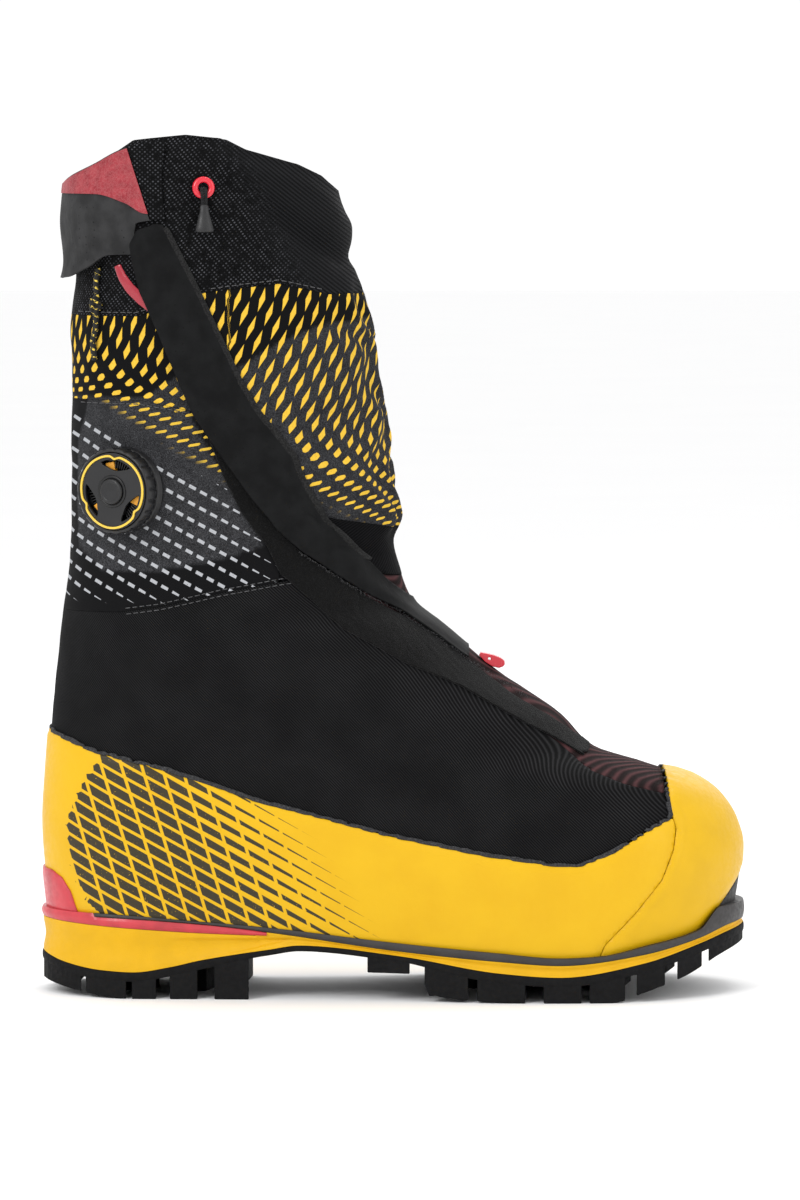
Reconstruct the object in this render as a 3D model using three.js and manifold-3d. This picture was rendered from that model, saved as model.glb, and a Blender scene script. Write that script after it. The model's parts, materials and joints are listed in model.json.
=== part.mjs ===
// A right-foot double mountaineering boot: lugged sole unit, rubber rand, zipped gaiter, laced inner
// shell with a ratchet lacing dial, and a removable foam inner boot. Millimetres, +X to the toe,
// +Y to the medial (inner) side, +Z up, origin on the ground below the middle of the boot.
import * as THREE from "three";
import { mergeVertices } from "three/addons/utils/BufferGeometryUtils.js";
import Module from "manifold-3d";

const wasm = await Module();
wasm.setup();

// ---------------------------------------------------------------- driving dimensions
const BOOT_LENGTH = 318.6; // heel ledge to toe ledge
const BOOT_WIDTH = 118; // across the forefoot of the sole
const BOOT_HEIGHT = 387; // ground to the top of the gaiter

const GAP = 0.3; // between neighbouring pieces
const FABRIC = 1.3; // gaiter cloth
const RAND_PROUD = 1.5; // rand above the cloth
const CAP_PROUD = 1.9; // toe cap above the cloth
const COUNTER_WALL = 1.2; // red heel counter and dark toe bumper
const SHELL_WALL = 2.4;
const SHELL_CLEAR = 2.6; // between cloth and shell in the foot
const LACE_ROOM = 5.5; // extra space between cloth and shell above the foot
const LINER_WALL = 4.5;
const LINER_CLEAR = 0.4;
const BOARD = 2; // lasting board
const INSOLE = 3;
const LINER_SOLE = 4.5;
const FOOTBED = 4;
const SHELL_TOP = 235;
const LINER_TOP = 262;
const THROAT_HALF = 13; // half the width of the shell's front opening
const LINER_THROAT_HALF = 9;

const SOLE_SIDE = 1.6; // how far the sole stands out beside the upper
const SOLE_END = 4; // and at heel and toe, as crampon ledges
const LUG_DEPTH = 23; // of a perimeter lug, across the boot

const ZIP_TAPE_WIDTH = 8;
const ZIP_TAPE = 0.6;
const ZIP_TEETH_WIDTH = 3.6;
const ZIP_TEETH = 0.9;
const SLIT_WIDTH = 3.4;
const SLIDER = { length: 10, width: 7, plate: 0.8, clear: 0.4 };
const PULLER = { width: 4.6, thick: 0.9, from: [-97, 303], to: [-115.3, 326.8] };
const FLAP = 1.1;
const FLAP_STANDOFF = 5.8; // room for the zip slider below the flap
const HOOK_STRIP = 1.6;
const HEM_TAPE_WIDTH = 3;
const HEM_CLEAR = 0.8; // between the hem tape and the flap that turns above it

const STRAP = 1.4;
const STRAP_CLEAR = 0.8;
const FOLD_GAP = 1; // between the strap and its sewn base, where it bends
const STRAP_BULGE = 6.5; // how far its lower edge stands off the collar
const PATCH = 0.6;
const PATCH_SETBACK = 1.2; // from the end where the strap folds

const DIAL = {
  baseRadius: 18.3,
  baseTop: 2.2,
  ratchetOuter: 16,
  ratchetInner: 13.4,
  ratchetHeight: 4.4,
  teeth: 15,
  toothDepth: 0.9,
  spoolRadius: 11.8,
  spoolHub: 6,
  spoolFlange: 1,
  spoolHeight: 5.2,
  axleRadius: 3,
  screwRadius: 1.4,
  pawlRadius: 12.2,
  knobRadius: 17.1,
  knobPlate: 1.8,
  gripRadius: 19.2,
  gripHeight: 8,
  trimWidth: 1.1,
  capRadius: 5.6,
  fit: 0.25,
};
const LACE_RADIUS = 0.6;
const GUIDE_RADIUS = 4.6;

const EYELET = { hole: 2.9, inner: 2.3, outer: 5, flange: 1.6 };
const PULL = { stem: 1.2, top: 8.5, length: 10.3, bottomRadius: 4.1 };
const DRAWCORD_RADIUS = 1.2;
const HEM_CORD_RADIUS = 1.4;
const KNOT_RADIUS = 3.4;
const TAB = { length: 12.5, thick: 4.4, width: 6, hole: 1.3 };

// The outlines below are drawn for this boot, and stretched to the driving dimensions.
const DRAWN = new THREE.Vector3(318.6, 118, 387);
const STRETCH = new THREE.Vector3(BOOT_LENGTH, BOOT_WIDTH, BOOT_HEIGHT).divide(DRAWN);

// ---------------------------------------------------------------- curves
const clamp = THREE.MathUtils.clamp;
// 0 before a and 1 past b, whichever of them is the greater.
const smooth = (a, b, value) => {
  const t = clamp((value - a) / (b - a), 0, 1);
  return t * t * (3 - 2 * t);
};
const mix = THREE.MathUtils.lerp;

// A curve through points [s, value] that doesn't overshoot between them.
function through(points) {
  const chord = (i) => (points[i + 1][1] - points[i][1]) / (points[i + 1][0] - points[i][0]);
  const slopes = points.map((_, i) => {
    if (i === 0) return chord(0);
    if (i === points.length - 1) return chord(i - 1);
    const [before, after] = [chord(i - 1), chord(i)];
    return before * after <= 0 ? 0 : (2 * before * after) / (before + after);
  });
  return (s) => {
    const last = points.length - 1;
    if (s <= points[0][0]) return points[0][1];
    if (s >= points[last][0]) return points[last][1];
    const i = points.findIndex((p) => p[0] > s) - 1;
    const span = points[i + 1][0] - points[i][0];
    const t = (s - points[i][0]) / span;
    const [a, b] = [points[i][1], points[i + 1][1]];
    return (
      a * (1 + 2 * t) * (1 - t) ** 2 +
      b * t * t * (3 - 2 * t) +
      span * t * (1 - t) * (slopes[i] * (1 - t) - slopes[i + 1] * t)
    );
  };
}

// Side silhouette of the cloth: where its back and front lie at each height.
const backEdge = through([
  [10, -149], [40, -154], [78, -157], [96, -156], [132, -153], [173, -148.5], [195, -145.5],
  [267, -144.5], [294, -145], [326, -141], [350, -145.5], [362, -146], [395, -138],
]);
const frontEdge = through([
  [10, 136], [25, 150], [40, 155], [65, 157.8], [76, 155], [87, 148], [95, 137], [100, 121],
  [110, 92], [125.5, 75.6], [143.5, 48.6], [166, 21.6], [175, 10.3], [191, 3.6], [204, 0.5],
  [215, 3.6], [231, 1.3], [258, -3], [290, -7.6], [312, -12], [335, -19], [360, -22], [395, -27],
]);
// Half widths of the foot along its length, and of the shaft up its height.
const lateralFoot = through([[-155, 36], [-120, 39], [-60, 42], [0, 48], [50, 55], [90, 57], [130, 56],
  [160, 53]]);
const medialFoot = through([[-155, 36], [-120, 39], [-60, 38.5], [-20, 41], [30, 49], [80, 55], [125, 52],
  [160, 48]]);
const shaftHalf = through([[150, 46], [200, 48], [250, 50.3], [300, 50.6], [335, 52], [350, 52],
  [395, 50]]);
// How deep the rounding of heel and front reaches into each slice.
const backDepth = through([[90, 42], [170, 58], [228, 61], [262, 58], [300, 50], [395, 50]]);
const frontDepth = through([[60, 62], [90, 70], [130, 80], [180, 76], [395, 78]]);
const toeShift = (x) => 6 * smooth(40, 160, x);
const tuck = through([[10, 0.9], [40, 0.965], [62, 1], [395, 1]]);

const quarter = (s) => Math.sqrt(1 - (1 - clamp(s, 0, 1)) ** 2);

// A point on the outside of the cloth. turn runs from the heel, 0, along the lateral side to the
// front, PI, and back along the medial side.
function clothPoint(turn, z) {
  const [back, front] = [backEdge(z), frontEdge(z)];
  const x = (back + front) / 2 - ((front - back) / 2) * Math.cos(turn);
  const lateral = Math.sin(turn) >= 0;
  const foot = lateral ? lateralFoot(x) : medialFoot(x);
  const half = mix(foot, shaftHalf(z), smooth(95, 175, z)) * tuck(z);
  const round = quarter((x - back) / backDepth(z)) * quarter((front - x) / frontDepth(z));
  const y = toeShift(x) + (lateral ? -1 : 1) * half * round;
  return new THREE.Vector3(x, y, z).multiply(STRETCH);
}

function clothNormal(turn, z) {
  const [dTurn, dz] = [0.02, 0.6];
  const alongTurn = clothPoint(turn + dTurn, z).sub(clothPoint(turn - dTurn, z));
  const alongHeight = clothPoint(turn, z + dz).sub(clothPoint(turn, z - dz));
  return alongTurn.cross(alongHeight).normalize();
}

// The point that lies this deep below the outside of the cloth. A negative depth stands out.
const below = (turn, z, depth) => clothPoint(turn, z).addScaledVector(clothNormal(turn, z), -depth);

// The turn at which a slice passes this x, on the lateral side.
function turnAt(x, z) {
  const [back, front] = [backEdge(z), frontEdge(z)];
  return Math.acos(clamp(((back + front) / 2 - x) / ((front - back) / 2), -1, 1));
}
const beside = (x, z, depth) => below(turnAt(x, z), z, depth);

// ---------------------------------------------------------------- solids
function solidOf(geometry) {
  const bare = geometry.clone();
  bare.deleteAttribute("normal");
  bare.deleteAttribute("uv");
  const merged = mergeVertices(bare, 1e-4);
  return new wasm.Manifold(
    new wasm.Mesh({
      numProp: 3,
      vertProperties: merged.attributes.position.array,
      triVerts: new Uint32Array(merged.index.array),
    }),
  );
}

function geometryOf(solid) {
  const mesh = solid.getMesh();
  const geometry = new THREE.BufferGeometry();
  geometry.setAttribute("position", new THREE.BufferAttribute(mesh.vertProperties, 3));
  geometry.setIndex(new THREE.BufferAttribute(mesh.triVerts, 1));
  geometry.computeVertexNormals();
  return geometry;
}

// A closed solid through rings of points, bottom ring first, each ring anticlockwise from above.
function ringSolid(rings) {
  const count = rings[0].length;
  const positions = [];
  const middle = (ring) => ring.reduce((sum, p) => sum.add(p), new THREE.Vector3()).divideScalar(count);
  rings.forEach((ring) => ring.forEach((p) => positions.push(...p)));
  positions.push(...middle(rings[0]), ...middle(rings.at(-1)));
  const [bottom, top] = [rings.length * count, rings.length * count + 1];
  const faces = [];
  for (let i = 0; i < count; i++) {
    const next = (i + 1) % count;
    for (let j = 0; j + 1 < rings.length; j++) {
      const [a, b, c, d] = [j * count + i, j * count + next, (j + 1) * count + i, (j + 1) * count + next];
      faces.push(a, b, d, a, d, c);
    }
    faces.push(bottom, next, i, top, (rings.length - 1) * count + i, (rings.length - 1) * count + next);
  }
  const geometry = new THREE.BufferGeometry();
  geometry.setAttribute("position", new THREE.BufferAttribute(new Float32Array(positions), 3));
  geometry.setIndex(faces);
  return solidOf(geometry);
}

const OUTER_LEVELS = [12, 38, 62, 78, 92, 106, 126, 150, 174, 200, 230, 270, 305, 330, 358, 395];
const INNER_LEVELS = [12, 40, 66, 88, 108, 132, 152, 172, 194, 230, 275];

// Everything inside the surface that lies depth(z) below the cloth.
function filled(depth, levels = OUTER_LEVELS, steps = 20) {
  const at = typeof depth === "number" ? () => depth : depth;
  return ringSolid(
    levels.map((z) =>
      Array.from({ length: steps }, (_, i) => below((i / steps) * 2 * Math.PI, z, at(z))),
    ),
  );
}

const shapeOf = (points) => new THREE.Shape(points.map(([x, y]) => new THREE.Vector2(x, y)));

// A side outline of drawn points [x, z], pushed through from y0 to y1.
function slab(points, y0 = -200, y1 = 200) {
  const shape = shapeOf(points.map(([x, z]) => [x * STRETCH.x, z * STRETCH.z]));
  const geometry = new THREE.ExtrudeGeometry(shape, { depth: y1 - y0, bevelEnabled: false });
  return solidOf(geometry.rotateX(Math.PI / 2).translate(0, y1, 0));
}

// A plan outline in real millimetres, pushed up from z0 to z1.
function column(points, z0, z1) {
  const geometry = new THREE.ExtrudeGeometry(shapeOf(points), { depth: z1 - z0, bevelEnabled: false });
  return solidOf(geometry.translate(0, 0, z0));
}

function cylinder(radius, z0, z1, segments = 24) {
  const geometry = new THREE.CylinderGeometry(radius, radius, z1 - z0, segments);
  return solidOf(geometry.rotateX(Math.PI / 2).translate(0, 0, (z0 + z1) / 2));
}

function turned(profile, segments = 24) {
  const points = profile.map(([r, z]) => new THREE.Vector2(r, z));
  return solidOf(new THREE.LatheGeometry(points, segments).rotateX(Math.PI / 2));
}

function box(low, high) {
  const [a, b] = [new THREE.Vector3(...low), new THREE.Vector3(...high)];
  const size = b.clone().sub(a);
  const middle = a.add(b).divideScalar(2);
  return solidOf(new THREE.BoxGeometry(size.x, size.y, size.z).translate(...middle));
}

// A tube along a smooth curve through points, with flat ends.
function tube(points, radius, steps, sides = 8) {
  const section = new THREE.Shape();
  section.absarc(0, 0, radius, 0, 2 * Math.PI);
  return solidOf(
    new THREE.ExtrudeGeometry(section, {
      steps,
      curveSegments: sides / 2,
      extrudePath: new THREE.CatmullRomCurve3(points, false, "centripetal"),
    }),
  );
}

// A band of side outline along a drawn path of points [x, z].
function ribbon(path, width) {
  const normal = (i) => {
    const [a, b] = [path[Math.max(i - 1, 0)], path[Math.min(i + 1, path.length - 1)]];
    const length = Math.hypot(b[0] - a[0], b[1] - a[1]);
    return [-(b[1] - a[1]) / length, (b[0] - a[0]) / length];
  };
  const edge = (side) => path.map(([x, z], i) => [x + (normal(i)[0] * side * width) / 2, z +
    (normal(i)[1] * side * width) / 2]);
  return [...edge(-1), ...edge(1).reverse()];
}

const moved = (points, dx, dz) => points.map(([x, z]) => [x + dx, z + dz]);

// The side outline of everything between two height curves, from x0 to x1. Every outline turns at the
// same stations, so that neighbours stay parallel.
const STATION = 15;
function between(lower, upper, x0, x1) {
  const first = Math.ceil((x0 + 1) / STATION);
  const last = Math.floor((x1 - 1) / STATION);
  const xs = [x0, ...Array.from({ length: last - first + 1 }, (_, i) => (first + i) * STATION), x1];
  return [...xs.map((x) => [x, lower(x)]), ...xs.reverse().map((x) => [x, upper(x)])];
}

// ---------------------------------------------------------------- materials
const material = (color, roughness, metalness = 0) =>
  new THREE.MeshStandardMaterial({ color, roughness, metalness });
const look = {
  rubber: material("#141415", 0.85),
  yellow: material("#f4c020", 0.55),
  yellowFoam: material("#f2b323", 0.6),
  redPlastic: material("#c93a48", 0.4),
  darkPlastic: material("#2f3033", 0.5),
  ripstop: material("#17181a", 0.8),
  heather: material("#33353b", 0.85),
  diamonds: material("#6b5a1c", 0.7),
  stretch: material("#101216", 0.85),
  flap: material("#26282a", 0.75),
  fuzz: material("#0c0c0d", 0.95),
  red: material("#c0182a", 0.45),
  redPatch: material("#a63640", 0.7),
  dial: material("#2b2c30", 0.45),
  dialTrim: material("#e2c35a", 0.35),
  pawl: material("#eda93a", 0.5),
  metal: material("#9a9ca0", 0.3, 1),
  lace: material("#3c3e42", 0.4, 0.6),
  board: material("#1e1f22", 0.5),
  felt: material("#b9bcbf", 0.8),
  shell: material("#232428", 0.85),
  liner: material("#3a3b3f", 0.9),
  linerTrim: material("#e0b43a", 0.8),
};

const boot = new THREE.Group();

function add(name, solid, finish, parent = boot) {
  const mesh = new THREE.Mesh(geometryOf(solid), finish);
  mesh.name = name;
  parent.add(mesh);
  return mesh;
}

// ---------------------------------------------------------------- sole unit
// Heights along the boot of the faces between the sole's layers.
const frameTop = through([
  [-165, 38], [-132, 38], [-86, 35], [-55, 32.4], [3.6, 26], [48, 22.2], [75, 20], [93, 20.8],
  [112, 24.6], [138, 30.6], [148, 40], [165, 40],
]);
const frameBottom = through([
  [-165, 36.8], [-128, 36.4], [-86, 33.8], [-55, 30.4], [3.6, 22.6], [48, 18.7], [75, 17], [112, 21.3],
  [138, 27.2], [152, 31.5], [165, 33],
]);
const insertBottom = through([[-165, 34.2], [-131, 32.6], [-86, 29.9], [-50, 28.6]]);
const midsoleBottom = through([
  [-165, 20.5], [-147, 14.9], [-131, 12.6], [-116, 12], [-99, 14.5], [-86, 17.5], [-55, 22.6],
  [-41, 24.6], [3.6, 20.4], [48, 13.4], [75, 11.6], [112, 17.3], [138, 24.6], [152, 28.6], [165, 31],
]);
const treadBase = (x) => midsoleBottom(x) - mix(2.6, 4.2, smooth(-55, -90, x) + smooth(5, 30, x));
const lugBottom = through([
  [-165, 7.2], [-147, 3.6], [-132, 1.2], [-120, 0], [-60, 0], [-40, 13], [12, 12.4], [17, 3.4],
  [40, 0.6], [55, 0], [98, 0], [112, 4], [132, 10.8], [148, 18.6], [165, 24],
]);
const INSERT_END = -60; // where the red heel insert runs out into the frame
const FRAME_START = -135;

// The plan of the sole: the upper's own plan, grown more at the ends than at the sides.
function solePlan(grow = 0, steps = 24) {
  const SOLE_LEVEL = 46;
  return Array.from({ length: steps }, (_, i) => {
    const turn = (i / steps) * 2 * Math.PI;
    const p = clothPoint(turn, SOLE_LEVEL);
    const n = clothNormal(turn, SOLE_LEVEL).setZ(0).normalize();
    const out = mix(SOLE_SIDE, SOLE_END, Math.abs(Math.cos(turn)) ** 6) + grow;
    return [p.x + n.x * out, p.y + n.y * out];
  });
}

const soleColumn = (grow) => column(solePlan(grow), -5, 60);

// Lugs along the edge: start and end of each, along the boot.
const HEEL_LUGS = [[-162, -120], [-117, -101], [-96, -83], [-78, -62]];
const FOREFOOT_LUGS = [[-12, 11], [16, 36], [39, 61], [68, 84], [89, 104], [108, 122], [126, 139],
  [142, 163]];
const CENTRE_LUGS = [[-124, -108], [-98, -82], [26, 38], [48, 60], [72, 84], [94, 104], [114, 124]];

function sole() {
  const plan = soleColumn(0);
  const edgeLugs = [...HEEL_LUGS, ...FOREFOOT_LUGS].flatMap(([x0, x1]) => {
    const inset = Math.min(LUG_DEPTH, 15 + (x1 - x0));
    const outline = solePlan().filter(([x]) => x >= x0 * STRETCH.x && x <= x1 * STRETCH.x);
    const reach = Math.max(...outline.map(([, y]) => Math.abs(y)), 30);
    return [-1, 1].map((side) => {
      const [near, far] = [side * (reach - inset), side * (reach + 30)];
      const skew = 2;
      return column(
        (side > 0
          ? [[x0 + skew, near], [x1 - skew, near], [x1, far], [x0, far]]
          : [[x0, far], [x1, far], [x1 - skew, near], [x0 + skew, near]]
        ).map(([x, y]) => [x * STRETCH.x, y]),
        -5,
        60,
      );
    });
  });
  const centreLugs = CENTRE_LUGS.map(([x0, x1], i) => {
    const [half, lean] = [11 + (i % 2) * 3, 4];
    return column(
      [[x0, -half], [x1, -half], [x1 + lean, 0], [x1, half], [x0, half], [x0 + lean, 0]].map(([x, y]) => [
        x * STRETCH.x,
        y * STRETCH.y,
      ]),
      -5,
      60,
    );
  });
  const tips = wasm.Manifold.union([column([[142, -30], [163, -30], [163, 30],
    [142, 30]].map(([x, y]) => [x * STRETCH.x, y]), -5, 60),
    column([[-163, -24], [-138, -24], [-138, 24], [-163, 24]].map(([x, y]) => [x * STRETCH.x, y]), -5,
      60)]);
  const tread = wasm.Manifold.union([...edgeLugs, ...centreLugs, tips]);
  const rubberTop = (x) => midsoleBottom(x) - GAP;
  const base = slab(between(treadBase, rubberTop, -175, 175)).intersect(plan);
  const lugs = slab(between(lugBottom, (x) => rubberTop(x) - 0.4, -175, 175)).intersect(plan)
    .intersect(tread);
  add("outsole", base.add(lugs), look.rubber);

  const wedgeTop = (x) => (x <= INSERT_END ? insertBottom(x) : frameBottom(x)) - GAP;
  const wedge = slab(between(midsoleBottom, wedgeTop, -175, 156)).intersect(soleColumn(-0.6));
  // The long shallow recess moulded into each side of the heel wedge.
  const recess = [[-98, 27], [-46, 27.3], [-64, 22.6], [-80, 19.4], [-90, 18.2], [-96, 21]];
  const recessed = wedge.subtract(slab(recess).subtract(soleColumn(-2)));
  add("midsole", recessed, look.yellowFoam);

  const underFrame = (x) => (x < FRAME_START ? frameTop(x) : frameBottom(x) - GAP);
  add(
    "heel_insert",
    slab(between(insertBottom, underFrame, -175, INSERT_END - 1)).intersect(soleColumn(0.2)),
    look.redPlastic,
  );
  add(
    "welt_frame",
    slab(between(frameBottom, frameTop, FRAME_START + 1, 175)).intersect(soleColumn(0.1)),
    look.darkPlastic,
  );
}

// ---------------------------------------------------------------- outer skin
// Side outlines of the seams between panels, as drawn points [x, z].
const RAND_EDGE = [
  [-185, 122], [-153.5, 117.9], [-132.8, 110.4], [-109.5, 105.3], [-83.7, 97.5], [-59.6, 88.9], [-27.9,
    81.1],
  [-1.8, 74.3], [40.5, 66.2], [72, 61.7], [82.7, 61.2], [98.6, 67.5], [113, 76], [124.9, 81.5],
];
const CAP_SEAM = [[124.9, 81.5], [126.2, 76.7], [125, 67.5], [119.7, 54.5], [107.8, 39.8], [94.5, 25.9],
  [86, 5]];
const CAP_TOP = [[124.9, 81.5], [123.6, 87.3], [122, 110]];
const INSTEP_EDGE = [[122, 92], [104, 97], [88, 103], [75, 114], [57, 127.5], [40, 139], [25, 149],
  [8, 162], [-8, 176], [-20, 192]];
const ANKLE_SEAM = [[-20, 192], [-50, 187.4], [-75.7, 182.8], [-103.3, 176.4], [-121.7, 173.7],
  [-185, 172]];
const CUFF_SEAM = [[-185, 268], [-110, 268], [-80, 262], [-62, 243], [-50, 230], [-35, 217], [30, 205]];
const COLLAR_SEAM = [[-185, 305.5], [-112, 305.5], [-83, 316], [-50, 320], [-28, 315], [40, 316]];
const RIM = [
  [-185, 350], [-150, 360], [-144, 367], [-116, 383], [-91, 387], [-68, 381], [-46, 371], [-28, 357],
    [-21, 349],
  [20, 330],
];
// The lateral zip: its line, the free edge of its flap, and the sewn edge of its flap.
const ZIP_LINE = [[-106, 333], [-83, 280], [-75, 257], [-60, 234], [-47, 216], [-33, 204], [-18, 192.5]];
const SLIDER_AT = [-95.6, 309];
const FLAP_FREE = [
  [-104, 346.5], [-111, 344], [-113.4, 338], [-110.7, 329.4], [-95.4, 292], [-86.4, 261.9], [-76, 244.2],
  [-62.3, 224.9], [-51.8, 212], [-41.4, 201.6], [-30.2, 193.5], [-14.1, 182.3], [2, 172.6], [18, 162],
    [33, 150.5],
];
const FLAP_SEWN = [
  [34, 157], [20, 168], [9, 177.5], [-2, 186.3], [-14.1, 199.2], [-29.3, 214.4], [-38.3, 228.2], [-44.6,
    244.2],
  [-59.9, 263.4], [-67.5, 276.3], [-86.4, 316.8], [-101, 346],
];
const FLAP_SPLIT = [[-90, 232], [-10, 232]]; // the flap folds open above this line
const HOOK_STRIP_SHAPE = [
  [-83.3, 257], [-74.3, 233.7], [-66.3, 217.6], [-55.8, 204], [-49.5, 191.1], [-38.3, 181.5], [-21.6,
    166.3],
  [4.8, 151.7], [31.2, 139.9], [51, 128], [70.8, 117.5], [86, 108], [86, 112.5], [72, 121], [52, 132],
    [34, 145.5],
  [18, 159], [2, 170.5], [-14, 181.5], [-30, 193], [-41, 201], [-51, 211.5], [-61.5, 224.5], [-75, 244],
];

const STRAP_FOLD = [[-122.5, 398], [-103.5, 340]]; // the line that the strap opens about
const dialTurn = turnAt(-119, 228.3);
const DIAL_HEIGHT = 228.3;

const insideFloor = (lift) => slab(between(() => -60, (x) => frameTop(x) + lift / STRETCH.z, -185, 185));
const cloth = filled(0);
const clothInside = filled(FABRIC);
const clothLayer = cloth.subtract(clothInside);

// A frame whose +Z is the outward normal of the cloth, +X towards the front and +Y up.
function frameOn(turn, z, depth = 0) {
  const outward = clothNormal(turn, z);
  const forward = new THREE.Vector3(0, 0, 1).cross(outward).negate();
  forward.normalize();
  if (forward.x < 0) forward.negate();
  const up = outward.clone().cross(forward);
  const matrix = new THREE.Matrix4().makeBasis(forward, up, outward);
  return matrix.setPosition(below(turn, z, depth));
}

const dialFrame = frameOn(dialTurn, DIAL_HEIGHT);
const eyeletTurn = turnAt(-83.3, 362.3);
const EYELET_HEIGHT = 362.3;
const eyeletFrame = frameOn(eyeletTurn, EYELET_HEIGHT);

function skin() {
  const randLayer = filled(-RAND_PROUD).subtract(clothInside);
  const randShape = slab([...RAND_EDGE, ...CAP_SEAM.slice(1), [86, -20], [-185, -20]]);
  add("rand", randLayer.intersect(randShape).subtract(insideFloor(GAP)), look.yellow);

  const capLayer = filled(-CAP_PROUD).subtract(clothInside);
  const capShape = slab(moved([...[...CAP_SEAM].reverse(), ...CAP_TOP.slice(1), [190, 130], [190, 5]],
    GAP, 0));
  // The toe cap is cut back above the crampon ledge, where the dark bumper shows.
  const bumperNotch = slab([[132, 22], [138.5, 31.5], [147, 41], [156.6, 53], [172, 70], [190, 60],
    [190, 20]]);
  add("toe_cap", capLayer.intersect(capShape).subtract(insideFloor(GAP)).subtract(bumperNotch),
    look.yellow);
  const bumperLayer = filled(-0.4).subtract(clothInside);
  add(
    "toe_bumper",
    bumperLayer.intersect(slab([[132.6, 22], [139, 31], [147.5, 40.4], [156.9, 52], [172, 68.5],
      [190, 60], [190, 20]])).subtract(insideFloor(GAP)),
    look.darkPlastic,
  );
  const counterLayer = filled(-RAND_PROUD - GAP - COUNTER_WALL).subtract(filled(-RAND_PROUD - GAP));
  const counterShape = slab([[-185, 57], [-152, 56], [-147, 53], [-143, 47], [-140, 38], [-140, 20],
    [-185, 20]]);
  add("heel_counter", counterLayer.intersect(counterShape).subtract(insideFloor(GAP)), look.redPlastic);

  const lowerShape = slab([
    ...moved(RAND_EDGE, -GAP, GAP + 0.1),
    ...moved(CAP_TOP.slice(1, 2), -GAP, 0),
    ...moved(INSTEP_EDGE, -GAP, -GAP),
    ...moved(ANKLE_SEAM.slice(1), 0, -GAP),
  ]);
  add("lower_gaiter", clothLayer.intersect(lowerShape), look.ripstop);
  const instepShape = slab([...INSTEP_EDGE, [40, 182], [122, 110]]);
  add("instep_panel", clothLayer.intersect(instepShape), look.ripstop);
  const flexShape = slab([
    [-50 + GAP, 188.2], [-20, 192.4], [40, 182.6],
    ...moved([...CUFF_SEAM].reverse().slice(0, 3), GAP, -GAP),
  ]);
  add("flex_panel", clothLayer.intersect(flexShape), look.stretch);
  const dialHole = cylinder(DIAL.baseRadius + GAP, -12, 12, 24).transform(dialFrame.elements);
  const midShape = slab([
    ...moved([...ANKLE_SEAM].reverse().slice(0, 5), 0, GAP),
    ...moved(CUFF_SEAM.slice(0, 5).reverse(), 0, -GAP),
  ]);
  add("mid_cuff", clothLayer.intersect(midShape).subtract(dialHole), look.heather);

  const slit = slab(ribbon([[-121, 395], [-106, 333], [-86, 285]], SLIT_WIDTH), -200, 0);
  const upperShape = slab([...moved(CUFF_SEAM, 0, GAP), ...moved([...COLLAR_SEAM].reverse(), 0, -GAP)]);
  add("upper_cuff", clothLayer.intersect(upperShape).subtract(slit), look.diamonds);
  const eyeletHole = cylinder(EYELET.hole + GAP, -6, 6, 16).transform(eyeletFrame.elements);
  const collarShape = slab([...moved(COLLAR_SEAM, 0, GAP), ...[...RIM].reverse()]);
  add("collar", clothLayer.intersect(collarShape).subtract(slit).subtract(eyeletHole), look.stretch);
}

// ---------------------------------------------------------------- inner shell, liner and lacing
const shellDepth = (z) => FABRIC + SHELL_CLEAR + LACE_ROOM * smooth(78, 118, z);
const shellFilled = filled(shellDepth, INNER_LEVELS, 16);
const lacingDepth = (z) => (FABRIC + shellDepth(z)) / 2;
const linerDepth = (z) => shellDepth(z) + SHELL_WALL + LINER_CLEAR;

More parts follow.
